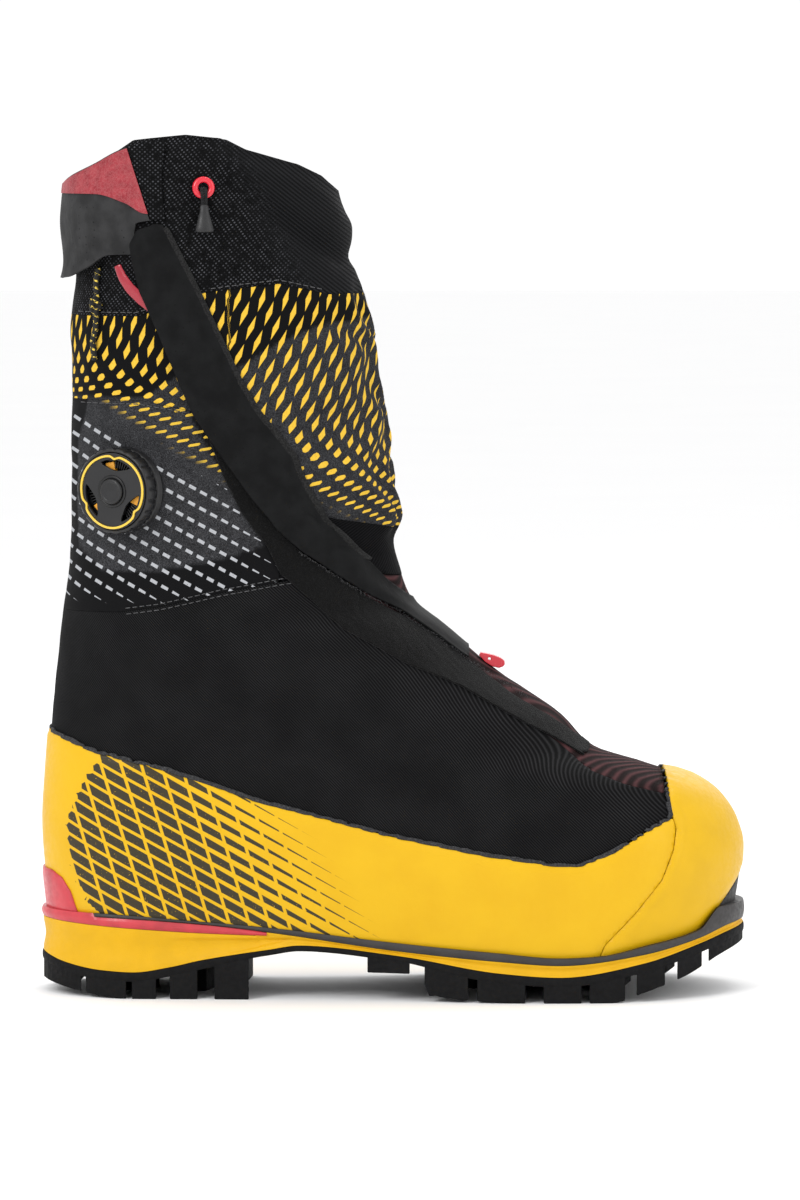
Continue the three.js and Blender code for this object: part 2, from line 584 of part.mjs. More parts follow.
function insides() {
  const shellInside = filled((z) => shellDepth(z) + SHELL_WALL, INNER_LEVELS, 16);
  const aboveShell = slab([[-185, SHELL_TOP], [-100, SHELL_TOP + 6], [-60, SHELL_TOP - 4],
    [40, SHELL_TOP - 14], [185, 200], [185, 420], [-185, 420]]);
  const throat = (half, x1) => box([-50 * STRETCH.x, -half, 96 * STRETCH.z], [x1 * STRETCH.x, half, 400]);
  const shellLayer = shellFilled.subtract(shellInside).subtract(insideFloor(GAP)).subtract(aboveShell);
  add("inner_shell", shellLayer.subtract(throat(THROAT_HALF, 92)), look.shell);
  add("shell_tongue", shellLayer.intersect(throat(THROAT_HALF - GAP, 92 - GAP)), look.shell);

  const layerOn = (solid, low, high) => solid.intersect(insideFloor(high)).subtract(insideFloor(low));
  const boardTop = GAP + BOARD;
  const insoleTop = boardTop + GAP + INSOLE;
  const shellRoom = filled((z) => shellDepth(z) + SHELL_WALL + GAP, INNER_LEVELS, 16);
  add("lasting_board", layerOn(shellRoom, GAP, boardTop), look.board);
  add("insulating_insole", layerOn(shellRoom, boardTop + GAP, insoleTop), look.felt);

  const linerOut = filled(linerDepth, INNER_LEVELS, 16);
  const linerIn = filled((z) => linerDepth(z) + LINER_WALL, INNER_LEVELS, 16);
  const linerFloor = insoleTop + GAP;
  const aboveLiner = slab([[-185, LINER_TOP + 4], [-60, LINER_TOP], [185, LINER_TOP - 18], [185, 420],
    [-185, 420]]);
  const hollow = linerIn.subtract(insideFloor(linerFloor + LINER_SOLE));
  const liner = linerOut.subtract(insideFloor(linerFloor)).subtract(hollow).subtract(aboveLiner);
  const linerThroat = (half) => box([-50 * STRETCH.x, -half, 112 * STRETCH.z], [80 * STRETCH.x, half, 400]);
  add("liner_body", liner.subtract(linerThroat(LINER_THROAT_HALF)), look.liner);
  const tongueShape = linerThroat(LINER_THROAT_HALF - GAP).subtract(box([-60, -40, 0],
    [200, 40, 112 * STRETCH.z + GAP]));
  add("liner_tongue", liner.intersect(tongueShape), look.liner);
  const footbedTop = linerFloor + LINER_SOLE + GAP + FOOTBED;
  const footRoom = filled((z) => linerDepth(z) + LINER_WALL + GAP, INNER_LEVELS, 16);
  add("liner_footbed", layerOn(footRoom, linerFloor + LINER_SOLE + GAP, footbedTop), look.linerTrim);
  const strapLayer = filled((z) => linerDepth(z) - GAP - 1.3, INNER_LEVELS, 16).subtract(
    filled((z) => linerDepth(z) - GAP, INNER_LEVELS, 16),
  );
  add("liner_strap", strapLayer.intersect(slab([[-185, 248], [185, 238], [185, 250], [-185, 260]])),
    look.fuzz);

  const loopX = backEdge(LINER_TOP) + linerDepth(LINER_TOP) + LINER_WALL;
  const loop = shapeOf([[0, 0], [1.6, 0], [1.6, 24], [6.4, 24], [6.4, -10], [8, -10], [8, 26.4],
    [0, 26.4]]);
  const strip = new THREE.ExtrudeGeometry(loop, { depth: 16, bevelEnabled: false });
  strip.rotateX(Math.PI / 2).translate(loopX * STRETCH.x - 3.6, 8, (LINER_TOP + 4) * STRETCH.z + GAP + 0.6);
  add("liner_pull_loop", solidOf(strip), look.linerTrim);
}

// Lace stations as [turn in degrees, drawn height], from the dial's front exit round to its rear one.
const LACE_ROUTE = [
  [68, 227], [90, 219], [112, 208], [132, 197], [150, 190], [168, 186], [186, 182], [204, 177], [219, 171],
  [225, 163], [216, 156], [200, 155], [180, 156], [160, 155], [143, 151], [135, 144], [143, 137], [160,
    135],
  [180, 135], [200, 133], [217, 130], [228, 135], [240, 153], [258, 178], [280, 202], [305, 219], [330,
    227],
  [350, 229], [370, 229.5], [388, 229],
];
const GUIDES = { lace_guide_medial_top: [220, 164], lace_guide_lateral: [140, 144],
  lace_guide_medial_low: [222, 137.5] };
const degrees = THREE.MathUtils.degToRad;

function lacing() {
  const plan = LACE_ROUTE.map(([turn, z]) => new THREE.Vector3(turn, z, 0));
  const path = new THREE.CatmullRomCurve3(plan, false, "centripetal").getPoints(4 * (plan.length - 1));
  const route = path.map(({ x: turn, y: z }) => below(degrees(turn), z, lacingDepth(z)));
  add("lace", tube(route, LACE_RADIUS, 56, 6), look.lace);
  const laceWay = tube(route, LACE_RADIUS + 0.35, 56, 6);
  for (const [name, [turn, z]] of Object.entries(GUIDES)) {
    const height = shellDepth(z) - FABRIC - 5 * GAP;
    const place = frameOn(degrees(turn), z, shellDepth(z) - GAP);
    const puck = turned([[0, 0], [GUIDE_RADIUS, 0], [GUIDE_RADIUS, height * 0.9],
      [GUIDE_RADIUS - 0.5, height], [0, height]], 16);
    add(name, puck.transform(place.elements).subtract(laceWay).subtract(shellGrown), look.darkPlastic);
  }
}
const shellGrown = filled((z) => shellDepth(z) - GAP, INNER_LEVELS, 16);

// ---------------------------------------------------------------- lacing dial
function ringWithTeeth(outer, inner, teeth, depth, height) {
  const shape = new THREE.Shape();
  shape.absarc(0, 0, outer, 0, 2 * Math.PI);
  const hole = new THREE.Path();
  for (let i = 0; i < teeth; i++) {
    const [a, b] = [(i / teeth) * 2 * Math.PI, ((i + 0.75) / teeth) * 2 * Math.PI];
    const [start, rise] = [[inner, a], [inner + depth, b]];
    if (i === 0) hole.moveTo(start[0] * Math.cos(a), start[0] * Math.sin(a));
    else hole.lineTo(start[0] * Math.cos(a), start[0] * Math.sin(a));
    hole.lineTo(rise[0] * Math.cos(b), rise[0] * Math.sin(b));
  }
  hole.closePath();
  shape.holes.push(hole);
  return solidOf(new THREE.ExtrudeGeometry(shape, { depth: height, bevelEnabled: false, curveSegments: 16 }));
}

function lacingDial() {
  const dial = new THREE.Group();
  dial.applyMatrix4(dialFrame);
  boot.add(dial);
  const D = DIAL;
  const inverse = dialFrame.clone().invert();
  const floor = -3.9;
  const ratchetBottom = D.baseTop + GAP;
  const ratchetTop = ratchetBottom + D.ratchetHeight;

  const shellHere = shellGrown.transform(inverse.elements);
  const exits = solidOf(new THREE.CylinderGeometry(1.1, 1.1, 60, 10).rotateZ(Math.PI / 2)
    .translate(0, 0, -2.4));
  const base = cylinder(D.baseRadius, -14, D.baseTop, 24)
    .subtract(shellHere)
    .subtract(cylinder(D.spoolRadius + 2 * GAP, floor, 20, 20))
    .subtract(exits);
  add("dial_base", base, look.dial, dial);
  add("dial_ratchet", ringWithTeeth(D.ratchetOuter, D.ratchetInner, D.teeth, D.toothDepth, D.ratchetHeight).translate([0, 0, ratchetBottom]), look.dial, dial);

  const [s0, s1] = [floor + GAP, floor + GAP + D.spoolHeight];
  const bore = D.axleRadius + D.fit;
  add(
    "dial_spool",
    turned([[bore, s0], [D.spoolRadius, s0], [D.spoolRadius, s0 + D.spoolFlange],
      [D.spoolHub, s0 + D.spoolFlange],
      [D.spoolHub, s1 - D.spoolFlange], [D.spoolRadius, s1 - D.spoolFlange], [D.spoolRadius, s1], [bore,
        s1], [bore, s0]], 20),
    look.dial, dial,
  );
  const [w0, w1] = [s0 + D.spoolFlange + GAP, s1 - D.spoolFlange - GAP];
  add(
    "lace_winding",
    turned([[D.spoolHub + GAP, w0], [D.spoolRadius - 2, w0], [D.spoolRadius - 1.2, (w0 + w1) / 2],
      [D.spoolRadius - 2, w1], [D.spoolHub + GAP, w1], [D.spoolHub + GAP, w0]], 16),
    look.lace, dial,
  );

  const plateBottom = ratchetTop + 1.5;
  const plateTop = plateBottom + D.knobPlate;
  const axle = cylinder(D.axleRadius, s0, plateTop - 0.4,
    20).subtract(cylinder(D.screwRadius + D.fit, s0 + 5, 30, 16));
  add("dial_axle", axle, look.metal, dial);

  // Pawl disc: a hub with three sprung arms that click along the ratchet's teeth.
  const hub = cylinder(8.2, 0, 2.6, 24);
  const arm = (i) => {
    const turn = (i / 3) * 2 * Math.PI + 0.9;
    const shape = shapeOf([[5, -2.6], [9.4, -3.4], [D.pawlRadius - 0.5, 0.4], [D.pawlRadius, 2.6],
      [10.2, 4.4], [5, 2.6]]);
    return solidOf(new THREE.ExtrudeGeometry(shape, { depth: 2.6, bevelEnabled: false }).rotateZ(turn));
  };
  const pawls = wasm.Manifold.union([hub, arm(0), arm(1), arm(2)]).subtract(cylinder(bore, -2, 8, 20));
  add("dial_pawl_disc", pawls.translate([0, 0, ratchetTop - 3.4]), look.pawl, dial);

  const windowAt = (i) => {
    const shape = new THREE.Shape();
    shape.absarc(0, 0, 13.4, -0.52, 0.52, false);
    shape.lineTo(8.6 * Math.cos(0.36), 8.6 * Math.sin(0.36));
    shape.lineTo(8.6 * Math.cos(0.36), -8.6 * Math.sin(0.36));
    shape.closePath();
    const cut = new THREE.ExtrudeGeometry(shape, { depth: 12, bevelEnabled: false, curveSegments: 5 });
    return solidOf(cut.rotateZ((i / 3) * 2 * Math.PI + 1.45).translate(0, 0, plateBottom - 4));
  };
  const plate = turned([[bore, plateBottom], [D.knobRadius, plateBottom], [D.knobRadius, plateTop - 0.6],
    [D.knobRadius - 1.6, plateTop], [D.capRadius + 1, plateTop - 0.5], [bore, plateTop - 0.5],
    [bore, plateBottom]], 20);
  add("dial_knob", plate.subtract(wasm.Manifold.union([0, 1, 2].map(windowAt))), look.dial, dial);

  const gripBottom = ratchetBottom + 0.6;
  const grip = turned([[D.ratchetOuter + 2 * GAP, gripBottom], [D.gripRadius, gripBottom],
    [D.gripRadius, plateTop - 1.2], [D.gripRadius - 1, plateTop - 0.4],
    [D.knobRadius + GAP, plateTop - 0.4], [D.knobRadius + GAP, plateBottom - GAP],
      [D.ratchetOuter + 2 * GAP, plateBottom - GAP], [D.ratchetOuter + 2 * GAP, gripBottom]], 20);
  const scallops = wasm.Manifold.union(
    Array.from({ length: 9 }, (_, i) => {
      const turn = (i / 9) * 2 * Math.PI;
      return cylinder(1.6, gripBottom + 1.6, plateTop + 1,
        6).translate([(D.gripRadius + 1) * Math.cos(turn), (D.gripRadius + 1) * Math.sin(turn), 0]);
    }),
  );
  add("dial_grip", grip.subtract(scallops), look.dial, dial);

  const trim = turned([[D.knobRadius - 1.4, plateTop + GAP],
    [D.knobRadius - 1.4 + D.trimWidth, plateTop + GAP],
    [D.knobRadius - 1.4 + D.trimWidth, plateTop + GAP + 0.6],
    [D.knobRadius - 1.4, plateTop + GAP + 0.6], [D.knobRadius - 1.4, plateTop + GAP]], 20);
  add("dial_trim_ring", trim, look.dialTrim, dial);

  const headBottom = plateTop;
  add("dial_screw", turned([[0, headBottom - 4.6], [D.screwRadius, headBottom - 4.6],
    [D.screwRadius, headBottom], [4, headBottom], [4, headBottom + 0.7], [0, headBottom + 0.7]], 16),
    look.metal, dial);
  add(
    "dial_cap",
    turned([[4 + GAP, plateTop - 0.2], [D.capRadius, plateTop - 0.2], [D.capRadius, plateTop + 1.1],
      [D.capRadius - 0.6, plateTop + 1.6], [0, plateTop + 1.9], [0, plateTop + 1],
      [4 + GAP, plateTop + 1], [4 + GAP, plateTop - 0.2]], 24),
    look.dial, dial,
  );
}

// ---------------------------------------------------------------- zip, flap and strap
const tapeTop = GAP + ZIP_TAPE;
const teethTop = tapeTop + GAP + ZIP_TEETH;
// A frame on the cloth with +X from one drawn point [x, z] to another, and +Z outwards.
function frameAlong(from, to, depthFrom, depthTo) {
  const [a, b] = [beside(...from, depthFrom), beside(...to, depthTo)];
  const along = b.clone().sub(a).normalize();
  const [x, z] = [(from[0] + to[0]) / 2, (from[1] + to[1]) / 2];
  const across = clothNormal(turnAt(x, z), z).cross(along).normalize();
  const matrix = new THREE.Matrix4().makeBasis(along, across, along.clone().cross(across));
  return { matrix: matrix.setPosition(a), length: a.distanceTo(b) };
}

function zipAndFlap() {
  const side = (outline) => slab(outline, -200, 0);
  const strip = (near, far) => filled(-far).subtract(filled(-near));
  add("zip_tape", strip(GAP, tapeTop).intersect(side(ribbon(ZIP_LINE, ZIP_TAPE_WIDTH))), look.fuzz);
  add("zip_teeth", strip(tapeTop + GAP, teethTop).intersect(side(ribbon(ZIP_LINE, ZIP_TEETH_WIDTH))),
    look.metal);

  const S = SLIDER;
  const under = teethTop + S.clear;
  const half = S.width / 2;
  const channel = ZIP_TEETH_WIDTH / 2 + S.clear;
  const along = frameAlong(SLIDER_AT, ZIP_LINE[1], 0, 0).matrix;
  const slider = box([-S.length / 2, -half, tapeTop + S.clear],
    [S.length / 2, half, under + S.plate]).subtract(
    box([-S.length, -channel, -1], [S.length, channel, under]),
  );
  add("zip_slider", slider.transform(along.elements), look.darkPlastic);
  const height = under + S.plate + 3 * GAP;
  const pull = frameAlong(PULLER.from, PULLER.to, -height, -height);
  const puller = box([0, -PULLER.width / 2, 0], [pull.length, PULLER.width / 2, PULLER.thick]);
  const hole = cylinder(1.1, -2, 4, 10).translate([pull.length - 3, 0, 0]);
  add("zip_puller", puller.subtract(hole).transform(pull.matrix.elements), look.red);

  const flapLayer = strip(FLAP_STANDOFF, FLAP_STANDOFF + FLAP);
  const flapShape = side([...FLAP_FREE, ...FLAP_SEWN]);
  const flap = flapLayer.intersect(flapShape);
  const upperHalf = side([...FLAP_SPLIT, [0, 420], [-185, 420]]);
  const lowerHalf = side([...moved([...FLAP_SPLIT].reverse(), 0, -GAP), [-185, 0], [185, 0], [185, 200]]);
  add("flap_upper", flap.intersect(upperHalf), look.flap);
  add("flap_lower", flap.intersect(lowerHalf), look.flap);
  const hem = ribbon(moved(FLAP_SEWN.slice(3), -1.4, -1.2), HEM_TAPE_WIDTH);
  add("flap_hinge_tape", strip(GAP, FLAP_STANDOFF - HEM_CLEAR).intersect(side(hem)), look.flap);
  add("hook_strip", strip(GAP, GAP + HOOK_STRIP).intersect(side(HOOK_STRIP_SHAPE)), look.fuzz);
}

// A bent sheet: at(s, t) gives the near point of its surface, and it is thick outwards.
function sheet(at, thick, columns, rows) {
  const positions = [];
  const index = (layer, i, j) => layer * (columns + 1) * (rows + 1) + j * (columns + 1) + i;
  for (const layer of [0, 1])
    for (let j = 0; j <= rows; j++)
      for (let i = 0; i <= columns; i++) positions.push(...at(i / columns, j / rows, layer * thick));
  const faces = [];
  const quad = (a, b, c, d) => faces.push(a, b, c, a, c, d);
  for (let j = 0; j < rows; j++)
    for (let i = 0; i < columns; i++) {
      quad(index(1, i, j), index(1, i + 1, j), index(1, i + 1, j + 1), index(1, i, j + 1));
      quad(index(0, i, j), index(0, i, j + 1), index(0, i + 1, j + 1), index(0, i + 1, j));
    }
  for (let i = 0; i < columns; i++) {
    quad(index(0, i, 0), index(0, i + 1, 0), index(1, i + 1, 0), index(1, i, 0));
    quad(index(0, i + 1, rows), index(0, i, rows), index(1, i, rows), index(1, i + 1, rows));
  }
  for (let j = 0; j < rows; j++) {
    quad(index(0, 0, j + 1), index(0, 0, j), index(1, 0, j), index(1, 0, j + 1));
    quad(index(0, columns, j), index(0, columns, j + 1), index(1, columns, j + 1), index(1, columns, j));
  }
  const geometry = new THREE.BufferGeometry();
  geometry.setAttribute("position", new THREE.BufferAttribute(new Float32Array(positions), 3));
  geometry.setIndex(faces);
  return solidOf(geometry);
}

// The closing strap wraps the back of the collar, from its loose end on the medial side to the seam
// on the lateral side. Its edges are heights over the turn in degrees.
const STRAP_ENDS = [-50, 74];
const strapLow = through([[-50, 330], [-20, 325], [0, 321], [20, 322], [34, 327], [46, 333], [57, 333],
  [62, 347], [80, 349]]);
const strapHigh = through([[-50, 352], [-20, 360], [0, 364], [20, 367], [40, 373], [60, 381], [80, 384]]);
const PATCH_ENDS = [5, 73];
const patchLow = through([[5, 360], [43, 359.5], [58, 355.5], [66, 351], [80, 350]]);

function strapPoint(turn, z, lift) {
  const t = (z - strapLow(turn)) / (strapHigh(turn) - strapLow(turn));
  const bulge = STRAP_BULGE * (1 - t) ** 1.3 * smooth(-50, -14, turn) * smooth(58, 26, turn);
  return below(degrees(turn), z, -(STRAP_CLEAR + bulge + lift));
}

const strapSheet = ([from, to], low, high, lift, thick, columns, rows) =>
  sheet(
    (s, t, out) => {
      const turn = mix(from, to, s);
      return strapPoint(turn, mix(low(turn), high(turn), t), lift + out);
    },
    thick, columns, rows,
  );

function strap() {
  const beyondFold = (shift) => slab([...moved(STRAP_FOLD, shift, 0), [-60, 340], [-60, 398]], -200, 0);
  const fold = beyondFold(0);
  const cleared = beyondFold(-FOLD_GAP);
  const whole = strapSheet(STRAP_ENDS, strapLow, strapHigh, 0, STRAP, 18, 4);
  add("collar_strap", whole.subtract(cleared), look.flap);
  add("strap_base", whole.intersect(fold), look.flap);
  const patchHigh = (turn) => strapHigh(turn) - 0.8;
  const patch = strapSheet(PATCH_ENDS, patchLow, patchHigh, STRAP + 2 * GAP, PATCH, 14, 2);
  add("strap_patch", patch.subtract(beyondFold(-FOLD_GAP - PATCH_SETBACK)), look.redPatch);
}

// ---------------------------------------------------------------- cords, eyelet and tabs
function trims() {
  const E = EYELET;
  const ring = turned([[E.inner, -FABRIC - 0.4], [E.hole - 0.1, -FABRIC - 0.4], [E.hole - 0.1, GAP],
    [E.outer - 0.5, GAP], [E.outer, GAP + E.flange * 0.4],
    [E.outer - 0.7, GAP + E.flange * 0.85], [(E.inner + E.outer) / 2, GAP + E.flange], [E.inner + 0.3,
      GAP + E.flange * 0.7], [E.inner, GAP], [E.inner, -FABRIC - 0.4]], 14);
  add("eyelet", ring.transform(eyeletFrame.elements), look.red);

  // The drawcord runs round inside the collar, and its tail comes out through the eyelet.
  const level = (turn) => EYELET_HEIGHT - 14 * (1 - Math.cos(turn - eyeletTurn)) * 0.5;
  const ringTurns = Array.from({ length: 25 }, (_, i) => eyeletTurn + degrees(mix(8, 346, i / 24)));
  const route = ringTurns.map((turn) => below(turn, level(turn), FABRIC + 4 * GAP + DRAWCORD_RADIUS));
  add("drawcord", tube(route, DRAWCORD_RADIUS, 26, 6), look.fuzz);
  const out = GAP + E.flange + 1.4;
  add("drawcord_tail", cylinder(E.inner - GAP, -3.2, out, 10).transform(eyeletFrame.elements), look.fuzz);
  const stem = out + GAP + PULL.stem;
  const pull = turned([[0, 1.2], [PULL.stem, 1], [PULL.stem, -PULL.top],
    [PULL.bottomRadius, -PULL.top - PULL.length + 1.4],
    [PULL.bottomRadius - 0.6, -PULL.top - PULL.length], [0, -PULL.top - PULL.length]].reverse(), 16);
  const hang = eyeletFrame.clone().multiply(
    new THREE.Matrix4().makeTranslation(0, 0, stem)
      .multiply(new THREE.Matrix4().makeRotationX(-Math.PI / 2)),
  );
  add("cord_pull", pull.transform(hang.elements), look.fuzz);

  const hemCord = (points, depth) => points.map(([x, z]) => beside(x, z, depth));
  const hang1 = [[-129.2, 325], [-129.6, 321.5], [-129.9, 318], [-130, 314.2]];
  const hang2 = [[-130, 305.6], [-130.6, 300], [-131.4, 294], [-131, 288]];
  add("hem_cord", tube(hemCord(hang1, -2.2), HEM_CORD_RADIUS, 8), look.fuzz);
  add("hem_cord_tail", tube(hemCord(hang2, -2.2), HEM_CORD_RADIUS, 7), look.fuzz);
  const knotAt = beside(-130, 309.9, -KNOT_RADIUS - GAP);
  const knot = new THREE.SphereGeometry(KNOT_RADIUS, 12, 8).rotateX(Math.PI / 2).translate(...knotAt);
  add("cord_knot", solidOf(knot), look.fuzz);

  // A moulded pull on the instep, hinged at its rear end.
  const T = TAB;
  const outline = new THREE.Shape();
  outline.moveTo(0, -0.7);
  outline.quadraticCurveTo(T.length * 0.45, -T.thick / 2 - 0.6, T.length - 2, -T.thick / 2);
  outline.quadraticCurveTo(T.length + 0.6, 0, T.length - 2, T.thick / 2);
  outline.quadraticCurveTo(T.length * 0.4, T.thick / 2 + 0.4, 0, 0.9);
  outline.closePath();
  const hole = new THREE.Path();
  hole.absarc(T.length * 0.38, -0.2, T.hole, 0, 2 * Math.PI);
  outline.holes.push(hole);
  const tab = new THREE.ExtrudeGeometry(outline, { depth: T.width, bevelEnabled: false, curveSegments: 5 });
  const root = below(Math.PI, 151.2, -1.1);
  tab.rotateX(Math.PI / 2).translate(0, T.width / 2, 0).rotateY(degrees(24)).translate(...root);
  add("instep_tab", solidOf(tab).subtract(filled(-0.5)), look.red);
}

sole();
skin();
insides();
lacing();
lacingDial();
zipAndFlap();
strap();
trims();

// Stand the boot on the ground, with the origin below the middle of its box.
const extent = new THREE.Box3().setFromObject(boot);
const centre = extent.getCenter(new THREE.Vector3());
boot.position.set(-centre.x, -centre.y, -extent.min.z);

export default boot;
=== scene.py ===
import math
import random

import bmesh
import bpy
import numpy as np
from mathutils import Matrix, Vector, noise
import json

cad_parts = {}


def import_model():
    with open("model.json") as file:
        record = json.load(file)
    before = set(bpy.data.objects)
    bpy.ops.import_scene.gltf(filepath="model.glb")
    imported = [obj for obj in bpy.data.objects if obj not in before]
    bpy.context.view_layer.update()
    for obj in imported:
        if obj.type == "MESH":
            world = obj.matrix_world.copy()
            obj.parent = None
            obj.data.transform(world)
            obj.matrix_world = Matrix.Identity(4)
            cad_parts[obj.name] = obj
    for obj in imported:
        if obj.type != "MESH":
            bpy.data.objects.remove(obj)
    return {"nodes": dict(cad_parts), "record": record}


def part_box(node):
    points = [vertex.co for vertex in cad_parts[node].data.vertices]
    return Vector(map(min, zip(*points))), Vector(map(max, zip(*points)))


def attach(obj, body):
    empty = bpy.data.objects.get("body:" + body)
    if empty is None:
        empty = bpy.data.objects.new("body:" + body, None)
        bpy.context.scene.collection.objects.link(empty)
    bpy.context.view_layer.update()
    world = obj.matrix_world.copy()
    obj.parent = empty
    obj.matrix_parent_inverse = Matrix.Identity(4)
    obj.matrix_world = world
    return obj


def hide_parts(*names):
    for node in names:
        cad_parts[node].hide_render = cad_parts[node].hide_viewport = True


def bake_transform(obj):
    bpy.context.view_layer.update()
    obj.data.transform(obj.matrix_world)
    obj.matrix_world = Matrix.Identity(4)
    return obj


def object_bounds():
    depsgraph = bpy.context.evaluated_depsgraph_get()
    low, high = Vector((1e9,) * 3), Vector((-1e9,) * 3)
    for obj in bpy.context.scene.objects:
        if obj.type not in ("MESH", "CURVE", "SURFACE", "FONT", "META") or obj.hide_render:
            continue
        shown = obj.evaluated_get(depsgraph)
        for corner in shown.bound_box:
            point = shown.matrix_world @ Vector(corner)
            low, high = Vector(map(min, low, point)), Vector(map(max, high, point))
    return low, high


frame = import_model()
CAD_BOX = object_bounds()
MM = 0.001
ROOT = "boot"

# ---------------------------------------------------------------- curves and the boot's surface
# The same outlines as the CAD part, in its drawn millimetres.


def through(points):
    """A curve through points [s, value] that doesn't overshoot between them."""
    s = np.array([p[0] for p in points], float)
    v = np.array([p[1] for p in points], float)
    chord = np.diff(v) / np.diff(s)
    slope = np.empty_like(v)
    slope[0], slope[-1] = chord[0], chord[-1]
    a, b = chord[:-1], chord[1:]
    same = a * b > 0
    slope[1:-1] = np.where(same, 2 * a * b / np.where(same, a + b, 1), 0)

    def at(q):
        q = np.clip(np.asarray(q, float), s[0], s[-1])
        i = np.clip(np.searchsorted(s, q, side="right") - 1, 0, len(s) - 2)
        span = s[i + 1] - s[i]
        t = (q - s[i]) / span
        return (v[i] * (1 + 2 * t) * (1 - t) ** 2 + v[i + 1] * t * t * (3 - 2 * t)
                + span * t * (1 - t) * (slope[i] * (1 - t) - slope[i + 1] * t))
    return at


def smooth(a, b, value):
    t = np.clip((np.asarray(value, float) - a) / (b - a), 0, 1)
    return t * t * (3 - 2 * t)


back_edge = through([
    [10, -149], [40, -154], [78, -157], [96, -156], [132, -153], [173, -148.5], [195, -145.5],
    [267, -144.5], [294, -145], [326, -141], [350, -145.5], [362, -146], [395, -138]])
front_edge = through([
    [10, 136], [25, 150], [40, 155], [65, 157.8], [76, 155], [87, 148], [95, 137], [100, 121],
    [110, 92], [125.5, 75.6], [143.5, 48.6], [166, 21.6], [175, 10.3], [191, 3.6], [204, 0.5],
    [215, 3.6], [231, 1.3], [258, -3], [290, -7.6], [312, -12], [335, -19], [360, -22], [395, -27]])
lateral_foot = through([[-155, 36], [-120, 39], [-60, 42], [0, 48], [50, 55], [90, 57], [130, 56], [160, 53]])
medial_foot = through([[-155, 36], [-120, 39], [-60, 38.5], [-20, 41], [30, 49], [80, 55], [125, 52],
                       [160, 48]])
shaft_half = through([[150, 46], [200, 48], [250, 50.3], [300, 50.6], [335, 52], [350, 52], [395, 50]])
back_depth = through([[90, 42], [170, 58], [228, 61], [262, 58], [300, 50], [395, 50]])
front_depth = through([[60, 62], [90, 70], [130, 80], [180, 76], [395, 78]])
tuck = through([[10, 0.9], [40, 0.965], [62, 1], [395, 1]])


def toe_shift(x):
    return 6 * smooth(40, 160, x)


def grid_faces(rows, columns, closed=False):
    index = np.arange(rows * columns).reshape(rows, columns)
    if closed:
        index = np.hstack([index, index[:, :1]])
    return np.stack([index[:-1, :-1], index[:-1, 1:], index[1:, 1:], index[1:, :-1]], -1).reshape(-1, 4)


def quarter(s):
    return np.sqrt(1 - (1 - np.clip(s, 0, 1)) ** 2)


def cloth_point(turn, z):
    back, front = back_edge(z), front_edge(z)
    x = (back + front) / 2 - (front - back) / 2 * np.cos(turn)
    lateral = np.sin(turn) >= 0
    foot = np.where(lateral, lateral_foot(x), medial_foot(x))
    mix = smooth(95, 175, z)
    half = (foot * (1 - mix) + shaft_half(z) * mix) * tuck(z)
    round_ = quarter((x - back) / back_depth(z)) * quarter((front - x) / front_depth(z))
    y = toe_shift(x) + np.where(lateral, -1, 1) * half * round_
    return np.stack([x, y, np.broadcast_to(z, x.shape)], -1)


def turn_at(x, z):
    back, front = back_edge(z), front_edge(z)
    return np.arccos(np.clip(((back + front) / 2 - x) / ((front - back) / 2), -1, 1))


def cloth_normal(turn, z):
    a = cloth_point(turn + 0.02, z) - cloth_point(turn - 0.02, z)
    b = cloth_point(turn, z + 0.6) - cloth_point(turn, z - 0.6)
    n = np.cross(a, b)
    return n / np.linalg.norm(n, axis=-1, keepdims=True)


def outside(turn, z, lift=0.0):
    """A point this far outside the cloth, in drawn millimetres."""
    turn, z = np.asarray(turn, float), np.asarray(z, float)
    return cloth_point(turn, z) + cloth_normal(turn, z) * np.asarray(lift, float)[..., None]


def beside(x, z, lift=0.0):
    x, z = np.asarray(x, float), np.asarray(z, float)
    return outside(turn_at(x, z), z, lift)


DIAL_SPOT = (-119.0, 228.3)
EYELET_SPOT = (-83.3, 362.3)
JOINT = {j["name"]: j for j in frame["record"]["behaviour"]["joints"]}


def joint_at(name):
    return np.array(JOINT[name]["pos_m"]) / MM


DIAL_AT = joint_at("dial_turn")
SHIFT = DIAL_AT - beside(*DIAL_SPOT)
SHIFT[2] = 0


def world(points):
    return (np.asarray(points, float) + SHIFT) * MM


# ---------------------------------------------------------------- camera and light
LOW, HIGH = (np.array(corner) for corner in CAD_BOX)
PICTURE_HEIGHT = 0.5335   # of the picture's view, at the boot
LENS = 180.0
camera_data = bpy.data.cameras.new("camera")
camera = bpy.data.objects.new("camera", camera_data)
bpy.context.scene.collection.objects.link(camera)
bpy.context.scene.camera = camera
camera_data.lens = LENS
camera_data.sensor_fit = "VERTICAL"
camera_data.sensor_height = 36.0
# The middle of the picture, from the middle of the boot's box and its floor.
TARGET = Vector(((LOW[0] + HIGH[0]) / 2 + 0.0030, -0.045, LOW[2] + 0.1795))
DISTANCE = PICTURE_HEIGHT * LENS / 36.0
ELEVATION = math.radians(4.0)
camera.location = TARGET + Vector((0, -math.cos(ELEVATION), math.sin(ELEVATION))) * DISTANCE
camera.rotation_euler = (math.pi / 2 - ELEVATION, 0, 0)
camera_data.clip_end = 20


def area_light(name, place, size, energy):
    data = bpy.data.lights.new(name, "AREA")
    data.shape, data.size, data.size_y = "RECTANGLE", size[0], size[1]
    data.energy = energy
    light = bpy.data.objects.new(name, data)
    light.location = place
    light.rotation_euler = (TARGET - Vector(place)).to_track_quat("-Z", "Y").to_euler()
    bpy.context.scene.collection.objects.link(light)


